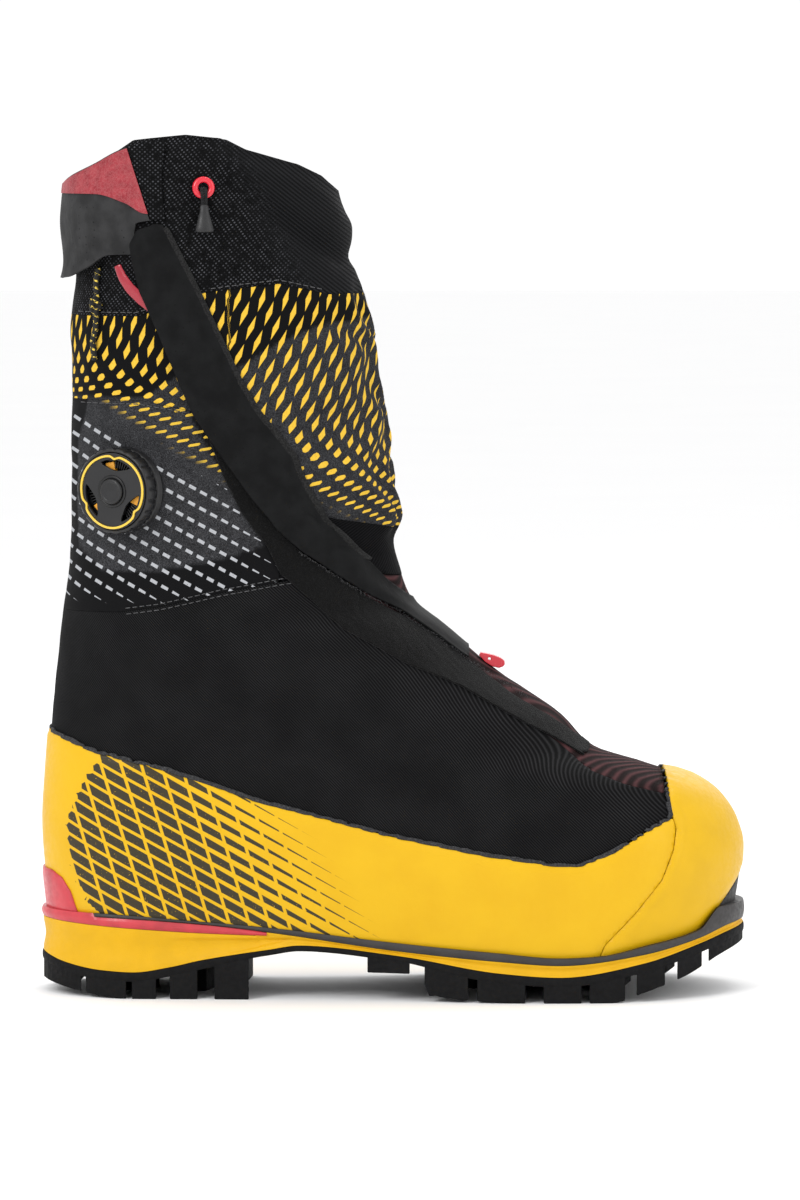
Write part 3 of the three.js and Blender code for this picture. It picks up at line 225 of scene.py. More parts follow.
area_light("key", (-1.1, -1.4, 1.3), (0.7, 0.9), 17)
area_light("fill", (1.4, -1.0, 0.7), (0.8, 1.2), 5)
area_light("top", (0.1, 0.3, 1.7), (1.2, 1.0), 9)
area_light("rear", (0.3, 1.5, 0.9), (1.6, 1.0), 5)
studio = bpy.data.worlds.new("studio")
studio.use_nodes = True
studio.node_tree.nodes["Background"].inputs[0].default_value = (1, 1, 1, 1)
studio.node_tree.nodes["Background"].inputs[1].default_value = 1.04
bpy.context.scene.world = studio
bpy.context.scene.view_settings.view_transform = "Standard"


# ---------------------------------------------------------------- materials
class Value:
    """A shader output. Each step of arithmetic on it adds a Math node."""

    def __init__(self, look, socket):
        self.look, self.socket = look, socket

    def op(self, kind, other=0.0):
        return self.look.math(kind, self, other)

    def __add__(self, other):
        return self.look.math("ADD", self, other)

    def __sub__(self, other):
        return self.look.math("SUBTRACT", self, other)

    def __rsub__(self, other):
        return self.look.math("SUBTRACT", other, self)

    def __mul__(self, other):
        return self.look.math("MULTIPLY", self, other)

    def __truediv__(self, other):
        return self.look.math("DIVIDE", self, other)

    def __abs__(self):
        return self.look.math("ABSOLUTE", self)

    def repeat(self, shift=0.0):
        """Position in a cell of size 1, from -0.5 to 0.5."""
        return (self + shift).op("FRACT") - 0.5


class Look:
    """A procedural material: small helpers that add a node and return its output as a Value."""

    def __init__(self, name, colour, rough, sheen=0.0, coat=0.0, specular=0.4):
        self.mat = bpy.data.materials.new(name)
        self.mat.use_nodes = True
        self.tree = self.mat.node_tree
        self.bsdf = self.tree.nodes["Principled BSDF"]
        self.set("Base Color", (*colour, 1))
        self.set("Roughness", rough)
        self.set("Specular IOR Level", specular)
        if sheen:
            self.set("Sheen Weight", sheen)
            self.set("Sheen Roughness", 0.5)
        if coat:
            self.set("Coat Weight", coat)
            self.set("Coat Roughness", 0.15)

    def feed(self, value, socket):
        if isinstance(value, Value):
            self.tree.links.new(value.socket, socket)
        else:
            socket.default_value = value

    def set(self, socket, value):
        self.feed(value, self.bsdf.inputs[socket])

    def node(self, kind, *values, **inputs):
        node = self.tree.nodes.new("ShaderNode" + kind)
        for key, value in [*enumerate(values), *inputs.items()]:
            self.feed(value, node.inputs[key])
        return node

    def math(self, op, a, b=0.0):
        node = self.node("Math", a, b)
        node.operation = op
        return Value(self, node.outputs[0])

    def coords(self):
        """Position in millimetres."""
        node = self.node("VectorMath", Value(self, self.node("TexCoord").outputs["Object"]))
        node.operation = "SCALE"
        node.inputs["Scale"].default_value = 1 / MM
        return Value(self, node.outputs[0])

    def attribute(self, name):
        node = self.node("Attribute")
        node.attribute_name = name
        return Value(self, node.outputs["Vector"])

    def split(self, vector):
        return [Value(self, socket) for socket in self.node("SeparateXYZ", vector).outputs]

    def noise(self, scale, detail=2.0, rough=0.5):
        node = self.node("TexNoise", Vector=self.coords(), Scale=scale, Detail=detail, Roughness=rough)
        return Value(self, node.outputs[0])

    def cells(self, scale, randomness):
        node = self.node("TexVoronoi", Vector=self.coords(), Scale=scale, Randomness=randomness)
        return Value(self, node.outputs[0])

    def ramp(self, value, a, b, low=0.0, high=1.0):
        node = self.node("MapRange", value, a, b, low, high)
        node.interpolation_type = "SMOOTHSTEP"
        return Value(self, node.outputs[0])

    def mix(self, factor, a, b):
        node = self.tree.nodes.new("ShaderNodeMix")
        node.data_type = "RGBA"
        for socket, value in ((node.inputs[0], factor), (node.inputs[6], a), (node.inputs[7], b)):
            self.feed((*value, 1) if isinstance(value, tuple) else value, socket)
        return Value(self, node.outputs[2])

    def bump(self, height, distance, strength):
        """Relief of this depth in millimetres."""
        node = self.node("Bump", Height=height, Strength=strength, Distance=distance * MM)
        self.tree.links.new(node.outputs[0], self.bsdf.inputs["Normal"])


def stripes(value, period):
    """A wave from 0 to 1 along value, in its own units."""
    return (value * (2 * math.pi / period)).op("SINE") * 0.5 + 0.5


def twill(name, colour, light, period, slope=1.0):
    """Cloth with fine slanting ribs."""
    look = Look(name, colour, 0.75, specular=0.05)
    x, y, z = look.split(look.coords())
    rib = stripes(x * slope + z + abs(y) * 0.6, period)
    cross = stripes(z - x * 1.2, period * 0.62)
    cloudy = look.ramp(look.noise(0.05, 3), 0.2, 0.8, 0.6, 1.0)
    look.set("Base Color", look.mix((rib * rib * 0.9 + 0.1) * cloudy, colour, light))
    look.bump(rib + cross * 0.35, 0.22, 0.8)
    return look


def moulded(name, colour, rough=0.5, grain=0.05, coat=0.0, dirt=0.12, specular=0.4):
    """Moulded rubber, plastic or metal: fine grain and slight cloudiness."""
    look = Look(name, colour, rough, coat=coat, specular=specular)
    dark = tuple(c * (1 - 2.2 * dirt) for c in colour)
    look.set("Base Color", look.mix(look.ramp(look.noise(0.09, 4), 0.35, 0.7), colour, dark))
    look.set("Roughness", look.ramp(look.noise(0.5, 3), 0.3, 0.7, rough - 0.07, rough + 0.1))
    look.bump(look.noise(2.2, 3), grain, 0.6)
    return look


def cloth(name, colour, light, thread):
    """Plain woven or knitted cloth."""
    look = Look(name, colour, 0.85, sheen=0.03, specular=0.15)
    x, y, z = look.split(look.coords())
    weave = stripes(x + y, thread) * stripes(z - y * 0.3, thread)
    speck = look.ramp(look.noise(1.3, 3), 0.35, 0.7) * 0.5
    look.set("Base Color", look.mix(speck + weave * 0.25, colour, light))
    look.bump(weave + look.noise(2.0, 2), 0.16, 0.7)
    return look


def diamond_mask(look, coords):
    """Staggered diamonds that turn into flat dashes. coords holds (column, row, flatness)."""
    u, w, flat = look.split(coords)
    wide = flat * 0.12 + 0.12
    tall = 0.43 - flat * 0.32

    def cell(shift):
        a, b = abs(u.repeat(shift)) / wide, abs(w.repeat(shift)) / tall
        diamond = a + b
        dash = (a + b * 0.25).op("MAXIMUM", b)
        return diamond + (dash - diamond) * look.ramp(flat, 0.35, 1.0)
    return look.ramp(cell(0.0).op("MINIMUM", cell(0.5)), 1.07, 0.93)


def rand_look():
    look = Look("rand_rubber", (0.65, 0.38, 0.004), 0.42, specular=0.25)
    u, w, duty = look.split(look.attribute("print"))
    across = look.ramp(abs(u.repeat()), 0.435, 0.405)
    along = look.ramp(abs(w.repeat()) - duty * 0.5, 0.02, -0.02)
    ink = across * along * look.ramp(duty, 0.0, 0.04)
    worn = look.ramp(look.noise(1.4, 4), 0.22, 0.36)
    cloud = look.mix(look.ramp(look.noise(0.05, 4), 0.3, 0.75), (0.655, 0.385, 0.003), (0.63, 0.360, 0.002))
    look.set("Base Color", look.mix(ink * worn, cloud, (0.035, 0.028, 0.014)))
    look.set("Roughness", look.ramp(look.noise(0.4, 4), 0.3, 0.7, 0.36, 0.52))
    look.bump(look.noise(0.3, 4) * 0.9 + ink * 0.25 + look.noise(3.5, 3) * 0.16, 0.22, 0.55)
    return look


def heather_base(look, dark, light):
    fleck = look.ramp(look.noise(1.9, 5, rough=0.9), 0.42, 0.62)
    cloud = look.ramp(look.noise(0.16, 3), 0.3, 0.7)
    return look.mix(fleck * (cloud * 0.4 + 0.6), dark, light)


def cuff_look():
    look = Look("diamond_cloth", (0.02, 0.02, 0.022), 0.8, specular=0.12)
    grey = heather_base(look, (0.005, 0.005, 0.006), (0.058, 0.059, 0.063))
    is_grey, inked, _ = look.split(look.attribute("tone"))
    base = look.mix(is_grey, (0.0012, 0.0012, 0.0015), grey)
    ink = diamond_mask(look, look.attribute("print")) * inked
    worn = look.ramp(look.noise(1.8, 4), 0.2, 0.34)
    yellow = look.mix(look.noise(0.8, 3), (0.58, 0.34, 0.02), (0.76, 0.50, 0.06))
    look.set("Base Color", look.mix(ink * worn, base, yellow))
    look.bump(look.noise(2.4, 3) + ink * 0.5, 0.16, 0.6)
    return look


def mid_look():
    look = Look("heather_cloth", (0.04, 0.042, 0.05), 0.85, specular=0.12)
    grey = heather_base(look, (0.007, 0.007, 0.008), (0.066, 0.067, 0.072))
    is_grey, inked, _ = look.split(look.attribute("tone"))
    base = look.mix(is_grey, (0.003, 0.003, 0.0035), grey)
    u, w, size = look.split(look.attribute("print"))
    dash = (look.ramp(abs(u.repeat()) - 0.30, 0.02, -0.02)
            * look.ramp(abs(w.repeat()) - size * 0.115, 0.012, -0.012) * look.ramp(size, 0.05, 0.15))
    worn = look.ramp(look.noise(2.2, 4), 0.25, 0.4)
    greyed = look.mix(dash * worn, base, (0.36, 0.37, 0.39))
    ink = diamond_mask(look, look.attribute("upper_print")) * inked
    look.set("Base Color", look.mix(ink * worn, greyed, (0.62, 0.40, 0.04)))
    look.bump(look.noise(2.4, 3), 0.16, 0.6)
    return look


def collar_look():
    look = Look("collar_knit", (0.006, 0.006, 0.007), 0.8, specular=0.10)
    x, _, z = look.split(look.coords())
    u, w, part = look.split(look.attribute("print"))

    def knot(shift):
        a, b = u.repeat(shift), w.repeat(shift)
        return a * a + b * b
    dots = look.ramp(knot(0.0).op("MINIMUM", knot(0.5)), 0.055, 0.012) * part
    rib = stripes(x * 0.8 + z, 1.9) * (1.0 - part)
    spark = look.ramp(look.noise(0.35, 4), 0.34, 0.66) * dots
    look.set("Base Color", look.mix(spark * 0.75 + rib * 0.12, (0.0008, 0.0008, 0.001),
                                    (0.085, 0.087, 0.097)))
    look.bump(dots + rib, 0.42, 0.8)
    return look


def perforated(name, colour, light):
    """A smooth laminate with rows of tiny pinholes."""
    look = Look(name, colour, 0.62, specular=0.08)
    holes = look.ramp(look.cells(0.30, randomness=0.25), 0.13, 0.07)
    cloud = look.ramp(look.noise(0.12, 4), 0.3, 0.7)
    base = look.mix(cloud * 0.6 + look.noise(2.5, 3) * 0.3, colour, light)
    look.set("Base Color", look.mix(holes * 0.8, base, (0.003, 0.003, 0.003)))
    look.bump(look.noise(0.35, 4) + look.noise(3.0, 2) * 0.15 - holes * 0.5, 0.32, 0.5)
    return look


def fuzz_look():
    colour = (0.0012, 0.0012, 0.0012)
    look = Look("loop_pile", colour, 1.0, sheen=0.08, specular=0.1)
    curls = look.noise(1.5, 5, rough=0.8)
    look.set("Base Color", look.mix(look.ramp(curls, 0.45, 0.8), colour, (0.016, 0.016, 0.017)))
    look.bump(curls, 0.9, 0.9)
    return look


def glue_look():
    look = Look("glue_edge", (0.03, 0.03, 0.032), 0.8)
    grains = look.noise(1.6, 5, rough=0.85)
    look.set("Base Color", look.mix(look.ramp(grains, 0.42, 0.75), (0.008, 0.008, 0.009),
                                    (0.10, 0.10, 0.105)))
    look.bump(grains, 0.5, 0.8)
    return look


def crackled_red():
    look = Look("red_coated_cloth", (0.25, 0.025, 0.033), 0.5, specular=0.2)
    veins = look.noise(0.5, 5, rough=0.8)
    line = look.ramp(abs(veins - 0.5), 0.035, 0.0)
    cloud = look.mix(look.ramp(look.noise(0.2, 4), 0.3, 0.7), (0.215, 0.018, 0.026), (0.31, 0.036, 0.046))
    look.set("Base Color", look.mix(line * 0.45, cloud, (0.48, 0.17, 0.17)))
    look.bump(look.noise(0.5, 4) + line * 0.3, 0.25, 0.5)
    return look


def fleck_look():
    base = (0.006, 0.006, 0.006)
    look = Look("cord_fleck", base, 0.8, sheen=0.02)
    x, _, z = look.split(look.coords())
    bands = look.ramp(stripes(z + x * 0.5, 3.1), 0.72, 0.8)
    spots = look.ramp(look.noise(1.1, 2), 0.5, 0.58)
    look.set("Base Color", look.mix(bands * spots, base, (0.8, 0.58, 0.08)))
    look.bump(look.noise(2.5, 3), 0.3, 0.8)
    return look


LOOKS = {
    "rand": rand_look(),
    "cap": moulded("toe_cap_rubber", (0.64, 0.375, 0.002), 0.42, grain=0.08, dirt=0.02, specular=0.25),
    "foam": moulded("midsole_foam", (0.66, 0.366, 0.003), 0.55, grain=0.1, dirt=0.03, specular=0.25),
    "rubber": moulded("lug_rubber", (0.006, 0.006, 0.0065), 0.75, grain=0.16, dirt=0.1, specular=0.14),
    "frame": moulded("frame_plastic", (0.030, 0.027, 0.027), 0.5, grain=0.1),
    "red": moulded("red_plastic", (0.52, 0.035, 0.05), 0.38, grain=0.03, coat=0.2),
    "gloss_red": moulded("gloss_red_plastic", (0.62, 0.012, 0.03), 0.2, grain=0.01, coat=0.5, dirt=0.05),
    "dark_red": moulded("dark_red_plastic", (0.30, 0.008, 0.022), 0.25, grain=0.01, coat=0.4, dirt=0.05),
    "bumper": moulded("bumper_rubber", (0.022, 0.021, 0.020), 0.6, grain=0.1),
    "gaiter": twill("gaiter_twill", (0.0010, 0.0010, 0.0012), (0.022, 0.022, 0.023), 1.35),
    "instep": twill("instep_cloth", (0.003, 0.0025, 0.0025), (0.075, 0.030, 0.032), 3.1),
    "flex": twill("flex_knit", (0.0008, 0.0008, 0.001), (0.007, 0.007, 0.008), 1.5, slope=-0.4),
    "mid": mid_look(),
    "cuff": cuff_look(),
    "collar": collar_look(),
    "flap": perforated("flap_laminate", (0.0030, 0.0031, 0.0033), (0.0085, 0.0088, 0.0092)),
    "strap": perforated("strap_laminate", (0.016, 0.016, 0.0165), (0.040, 0.040, 0.041)),
    "fuzz": fuzz_look(),
    "tape": cloth("zip_tape_cloth", (0.006, 0.006, 0.006), (0.03, 0.03, 0.03), 0.8),
    "glue": glue_look(),
    "patch": crackled_red(),
    "cord": cloth("cord_braid", (0.005, 0.005, 0.005), (0.03, 0.03, 0.032), 0.7),
    "pull": moulded("pull_rubber", (0.014, 0.014, 0.015), 0.45, grain=0.05),
    "dial": moulded("dial_plastic", (0.011, 0.011, 0.012), 0.4, grain=0.03),
    "dial_dark": moulded("dial_dark_plastic", (0.003, 0.003, 0.0035), 0.35, grain=0.02),
    "trim": moulded("dial_trim", (0.75, 0.5, 0.05), 0.25, grain=0.01, coat=0.3, dirt=0.03),
    "pawl": moulded("pawl_plastic", (0.80, 0.36, 0.03), 0.45, grain=0.04),
    "steel": moulded("steel", (0.35, 0.35, 0.36), 0.3, grain=0.01),
    "thread": cloth("thread", (0.05, 0.05, 0.052), (0.16, 0.16, 0.165), 0.6),
    "shell": cloth("shell_cloth", (0.012, 0.012, 0.014), (0.05, 0.05, 0.056), 1.0),
    "liner": cloth("liner_cloth", (0.03, 0.031, 0.035), (0.10, 0.10, 0.11), 1.3),
    "liner_trim": cloth("liner_trim_cloth", (0.62, 0.36, 0.03), (0.80, 0.52, 0.08), 1.0),
    "felt": cloth("insole_felt", (0.28, 0.28, 0.29), (0.5, 0.5, 0.51), 1.4),
    "board": moulded("board", (0.02, 0.02, 0.022), 0.5),
    "cord_fleck": fleck_look(),
}
LOOKS["steel"].set("Metallic", 1.0)


# ---------------------------------------------------------------- mesh helpers
def link(obj):
    bpy.context.scene.collection.objects.link(obj)
    return obj


def add_object(name, mesh, look):
    mesh.materials.clear()
    mesh.materials.append(LOOKS[look].mat)
    return link(bpy.data.objects.new(name, mesh))


def make_object(name, points, faces, look, drawn=True):
    """An object from points in drawn millimetres, or from points that are already placed."""
    mesh = bpy.data.meshes.new(name)
    points = world(points) if drawn else np.asarray(points, float)
    mesh.from_pydata([tuple(p) for p in points], [], [tuple(int(i) for i in f) for f in faces])
    mesh.shade_smooth()
    return add_object(name, mesh, look)


def save(bm, mesh):
    """Writes the edited faces back, all turned outwards."""
    bmesh.ops.recalc_face_normals(bm, faces=bm.faces)
    bm.to_mesh(mesh)
    bm.free()
    return mesh


def merged(mesh, distance):
    bm = bmesh.new()
    bm.from_mesh(mesh)
    bmesh.ops.remove_doubles(bm, verts=bm.verts, dist=distance)
    return save(bm, mesh)


def place(obj, matrix):
    """Local millimetres to the frame."""
    obj.data.transform(Matrix.Scale(MM, 4))
    obj.data.transform(matrix)
    return obj


def modifier(obj, kind, **settings):
    mod = obj.modifiers.new(kind.lower(), kind)
    for key, value in settings.items():
        setattr(mod, key, value)


def apply_all(obj):
    graph = bpy.context.evaluated_depsgraph_get()
    mesh = bpy.data.meshes.new_from_object(obj.evaluated_get(graph), depsgraph=graph)
    obj.modifiers.clear()
    obj.data = mesh
    return obj


def bevel_edges(obj, width, segments, angle):
    modifier(obj, "BEVEL", width=width * MM, segments=segments, limit_method="ANGLE", angle_limit=angle)


def done(obj, slot, *nodes, body=ROOT):
    """Hangs the piece on the body that carries it and hides the CAD nodes it stands for. slot, what it is
    made of, is not used.
    """
    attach(obj, body)
    if nodes:
        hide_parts(*nodes)
    return obj


def polygon_distance(points, x, z):
    """Signed distance to a closed outline, positive inside."""
    p = np.array(points, float)
    q = np.roll(p, -1, 0)
    best = np.full(x.shape, 1e9)
    inside = np.zeros(x.shape, bool)
    for (ax, az), (bx, bz) in zip(p, q):
        dx, dz = bx - ax, bz - az
        t = np.clip(((x - ax) * dx + (z - az) * dz) / (dx * dx + dz * dz), 0, 1)
        best = np.minimum(best, np.hypot(x - ax - t * dx, z - az - t * dz))
        if az != bz:
            crosses = ((az > z) != (bz > z)) & (x < ax + (z - az) / dz * dx)
            inside ^= crosses
    return np.where(inside, best, -best)


def path_distance(points, x, z):
    """Distance to an open path, positive on its left going along it, and the length along it."""
    p = np.array(points, float)
    best = np.full(x.shape, 1e9)
    side = np.ones(x.shape)
    along = np.zeros(x.shape)
    walked = 0.0
    for (ax, az), (bx, bz) in zip(p[:-1], p[1:]):
        dx, dz = bx - ax, bz - az
        length = math.hypot(dx, dz)
        t = np.clip(((x - ax) * dx + (z - az) * dz) / (length * length), 0, 1)
        d = np.hypot(x - ax - t * dx, z - az - t * dz)
        near = d < best
        best = np.where(near, d, best)
        side = np.where(near, np.sign(dx * (z - az) - dz * (x - ax)), side)
        along = np.where(near, walked + t * length, along)
        walked += length
    return best * side, along


# ---------------------------------------------------------------- the skin, as one fine grid
TURNS, LEVELS = 380, 205
LEVEL_RANGE = (16.0, 392.0)
turn_line = np.arange(TURNS) / TURNS * 2 * math.pi
level_line = np.linspace(*LEVEL_RANGE, LEVELS)
TURN, LEVEL = np.meshgrid(turn_line, level_line)
BASE = cloth_point(TURN, LEVEL)
PX, PZ = BASE[..., 0], LEVEL


def noise_field(scale, seed=0.0, octaves=3):
    """Smooth noise over the skin, from about -1 to 1."""
    flat = BASE.reshape(-1, 3) / scale + seed
    values = [noise.fractal(Vector(p), 0.9, 2.0, octaves) for p in flat]
    return np.array(values).reshape(TURN.shape)


def crease(path, width, depth, fade=14.0):
    """A groove along an open path of points [x, z] on both sides, that fades at its ends."""
    d, along = path_distance(path, PX, PZ)
    total = sum(math.dist(a, b) for a, b in zip(path[:-1], path[1:]))
    ends = smooth(0, fade, along) * smooth(total, total - fade, along)
    return -depth * np.exp(-(d / width) ** 2) * ends


def folds():
    rand_off = smooth(2, 16, path_distance(RAND_LINE, PX, PZ)[0])
    broad = noise_field(55, 3.1)
    fine = noise_field(16, 9.7)
    cuffs = smooth(185, 230, PZ)
    lift = broad * (0.5 + 0.9 * cuffs) * rand_off + fine * 0.22 * rand_off
    # Upright wrinkles down the front of the cuff.
    front = smooth(-58, -30, PX) * smooth(200, 218, PZ) * smooth(326, 305, PZ)
    waver = 3.2 * np.sin(PZ / 13.0) + 2.0 * np.sin(PZ / 5.7 + 1.0) + 5 * broad
    ridges = np.sin((PX * 0.55 + np.abs(BASE[..., 1]) * 0.75 + waver) * 2 * math.pi / 8.5)
    lift += front * ridges * (1.15 + 0.6 * fine)
    # Sideways gathers where the ankle flexes, and the drape of the collar.
    lift += crease([[-12, 207], [-30, 213], [-52, 226]], 3.0, 1.6)
    lift += crease([[2, 196], [-16, 201], [-34, 206]], 2.5, 1.3)
    lift += crease([[-14, 327], [-34, 338], [-58, 356], [-80, 372]], 4.2, 3.6, 10)
    lift += 3.0 * np.exp(-(((PX + 22) / 16) ** 2 + ((PZ - 345) / 11) ** 2))
    lift += crease([[-30, 306], [-60, 322], [-92, 330]], 5.0, 1.6)
    lift += crease([[-60, 330], [-82, 350], [-96, 374]], 5.0, 1.5)
    lift += crease([[-8, 178], [-40, 172], [-80, 160]], 6.0, 1.2, 25)
    lift += crease([[30, 150], [-10, 146], [-60, 128]], 8.0, 1.0, 30)
    lift += crease([[-140, 150], [-100, 140], [-60, 138]], 7.0, 0.9, 25)
    # The cloth lies flat below the zip and its flap.
    zip_near, _ = path_distance(ZIP_LINE, PX, PZ)
    lift *= 1 - 0.8 * np.exp(-(zip_near / 16) ** 2) * smooth(200, 250, PZ)
    # The rim rolls inwards.
    rim = path_distance(RIM, PX, PZ)[0]
    lift -= 2.6 * smooth(-9, 0.5, rim)
    return lift


ZIP_LINE = [[-106, 333], [-83, 280], [-75, 257], [-60, 234], [-47, 216], [-33, 204], [-18, 192.5]]
RAND_EDGE = [[-185, 122], [-153.5, 117.9], [-132.8, 110.4], [-109.5, 105.3], [-83.7, 97.5], [-59.6, 88.9],
             [-27.9, 81.1], [-1.8, 74.3], [40.5, 66.2], [72, 61.7], [82.7, 61.2], [98.6, 67.5], [113, 76],
             [124.9, 81.5]]
CAP_SEAM = [[124.9, 81.5], [126.2, 76.7], [125, 67.5], [119.7, 54.5], [107.8, 39.8], [94.5, 25.9], [86, 5]]
CAP_TOP = [[124.9, 81.5], [123.6, 87.3], [122, 110]]
RAND_LINE = [*RAND_EDGE, [123.6, 87.3], [122, 120]]
INSTEP_EDGE = [[122, 92], [104, 97], [88, 103], [75, 114], [57, 127.5], [40, 139], [25, 149], [8, 162],
               [-8, 176], [-20, 192]]
ANKLE_SEAM = [[-20, 192], [-50, 187.4], [-75.7, 182.8], [-103.3, 176.4], [-121.7, 173.7], [-185, 172]]
CUFF_SEAM = [[-185, 268], [-110, 268], [-80, 262], [-62, 243], [-50, 230], [-35, 217], [30, 205]]
COLLAR_SEAM = [[-185, 305.5], [-112, 305.5], [-83, 316], [-50, 320], [-28, 315], [40, 316]]
RIM = [[-185, 350], [-150, 360], [-144, 367], [-116, 384], [-91, 386], [-75, 384.5], [-66, 380], [-41, 373],
       [-30, 368], [-22, 361], [-18, 353], [20, 342]]
FLAP_FREE = [[-104, 346.5], [-111, 344], [-114, 338], [-112.8, 329.4], [-110, 317], [-100, 291],
             [-88, 261.9], [-76, 244.2], [-62.3, 224.9], [-51.8, 212], [-41.4, 201.6], [-30.2, 193.5],
             [-14.1, 182.3], [2, 172.6], [18, 162], [33, 150.5]]
FLAP_SEWN = [[34, 157], [20, 168], [9, 177.5], [-2, 186.3], [-14.1, 199.2], [-29.3, 214.4], [-38.3, 228.2],
             [-44.6, 244.2], [-59.9, 263.4], [-67.5, 276.3], [-86.4, 316.8], [-101, 346]]
HOOK_STRIP = [[-83.3, 257], [-74.3, 233.7], [-66.3, 217.6], [-55.8, 204], [-49.5, 191.1], [-38.3, 181.5],
              [-21.6, 166.3], [4.8, 151.7], [31.2, 139.9], [51, 128], [70.8, 117.5], [86, 108], [90, 111],
              [72, 124], [52, 136], [34, 150], [18, 163], [2, 172], [-14, 181.5], [-30, 193], [-41, 201],
              [-51, 211.5], [-61.5, 224.5], [-75, 244]]

SKIN = BASE + cloth_normal(TURN, LEVEL) * folds()[..., None]
_east = np.roll(SKIN, -1, 1) - np.roll(SKIN, 1, 1)
_north = np.gradient(SKIN, axis=0)
NORMAL = np.cross(_east, _north)
NORMAL /= np.linalg.norm(NORMAL, axis=-1, keepdims=True)
SIDE = np.sin(TURN)   # above 0 on the lateral side
_step = np.linalg.norm(np.roll(BASE, -1, 1) - BASE, axis=-1)
_walk = np.cumsum(_step, 1) - _step
_mid = TURNS // 2
ARC = np.abs(_walk - _walk[:, _mid:_mid + 1])   # along the slice, from the front

QUADS = grid_faces(LEVELS, TURNS, closed=True)


def clip(points, faces, attributes, f):
    """The part of a mesh where f is above 0, cut where f passes 0."""
    f = np.where(np.abs(f) < 0.03, 0.03, f)
    keep = f > 0
    count = keep[faces].sum(1)
    size = faces.shape[1]
    new_faces = [tuple(face) for face in faces[count == size]]
    pts, att, made = list(points), {k: list(v) for k, v in attributes.items()}, {}

    def cut(a, b):
        key = (min(a, b), max(a, b))
        if key not in made:
            t = f[a] / (f[a] - f[b])
            made[key] = len(pts)
            pts.append(pts[a] + (pts[b] - pts[a]) * t)
            for values in att.values():
                values.append(values[a] + (values[b] - values[a]) * t)
        return made[key]

    for face in faces[(count > 0) & (count < size)]:
        ring = []
        for a, b in zip(face, np.roll(face, -1)):
            if keep[a]:
                ring.append(a)
            if keep[a] != keep[b]:
                ring.append(cut(a, b))
        if len(ring) > 2:
            new_faces.append(tuple(ring))
    used = sorted({i for face in new_faces for i in face})
    number = {old: new for new, old in enumerate(used)}
    return (np.array([pts[i] for i in used]), [tuple(number[i] for i in face) for face in new_faces],
            {k: np.array([v[i] for i in used]) for k, v in att.items()})


def area_of(points, faces):
    """The area of a mesh in square metres, its points in drawn millimetres."""
    total = 0.0
    for face in faces:
        a, b, c = points[face[0]], points[list(face[1:-1])], points[list(face[2:])]
        total += np.linalg.norm(np.cross(b - a, c - a), axis=-1).sum() / 2
    return total * MM * MM


def put_attributes(obj, attributes):
    for key, values in attributes.items():
        layer = obj.data.attributes.new(key, "FLOAT_VECTOR", "POINT")
        layer.data.foreach_set("vector", np.asarray(values, np.float32).ravel())


def panel(name, look, f, lift, thick, attributes=None, soften=0.0):
    """A piece of the skin where f is above 0, this far outside the cloth's surface."""
    lift = np.broadcast_to(np.asarray(lift, float), TURN.shape)
    if soften:
        # The edge is drawn in a little, so that it looks cut from thick material.
        lift = lift - soften * (1 - smooth(0, 2.6, f))
    points = (SKIN + NORMAL * lift[..., None]).reshape(-1, 3)
    flat = {k: v.reshape(-1, 3) for k, v in (attributes or {}).items()}
    pts, faces, att = clip(points, QUADS, flat, f.reshape(-1))
    obj = make_object(name, pts, faces, look)
    put_attributes(obj, att)
    modifier(obj, "SOLIDIFY", thickness=thick * MM, offset=-1.0, use_even_offset=False)
    obj = apply_all(obj)
    # The new inner face follows the outer one's points, and nothing is printed on it.
    for key in att:
        layer = obj.data.attributes[key]
        values = np.empty(len(layer.data) * 3, np.float32)
        layer.data.foreach_get("vector", values)
        values = values.reshape(-1, 3)
        values[len(pts):, 0 if key == "tone" else 2:] = 0
        layer.data.foreach_set("vector", values.ravel())
    return obj


def poly(points, gap=0.0):
    return polygon_distance(points, PX, PZ) - gap


SOLE_TOP_CURVE = through([
    [-165, 38], [-132, 38], [-86, 35], [-55, 32.4], [3.6, 26], [48, 22.2], [75, 20], [93, 20.8],
    [112, 24.6], [138, 30.6], [148, 40], [165, 40]])
FLOOR = PZ - SOLE_TOP_CURVE(PX) + 1.5


def lateral_only(f):
    return np.where(SIDE > 0, f, -5)


def triple(a, b, c):
    return np.stack([np.broadcast_to(v, TURN.shape) for v in (a, b, c)], -1)


CLOTH = 1.1          # thickness of the gaiter's cloths
SEAM_GAP = 0.05      # between neighbouring panels


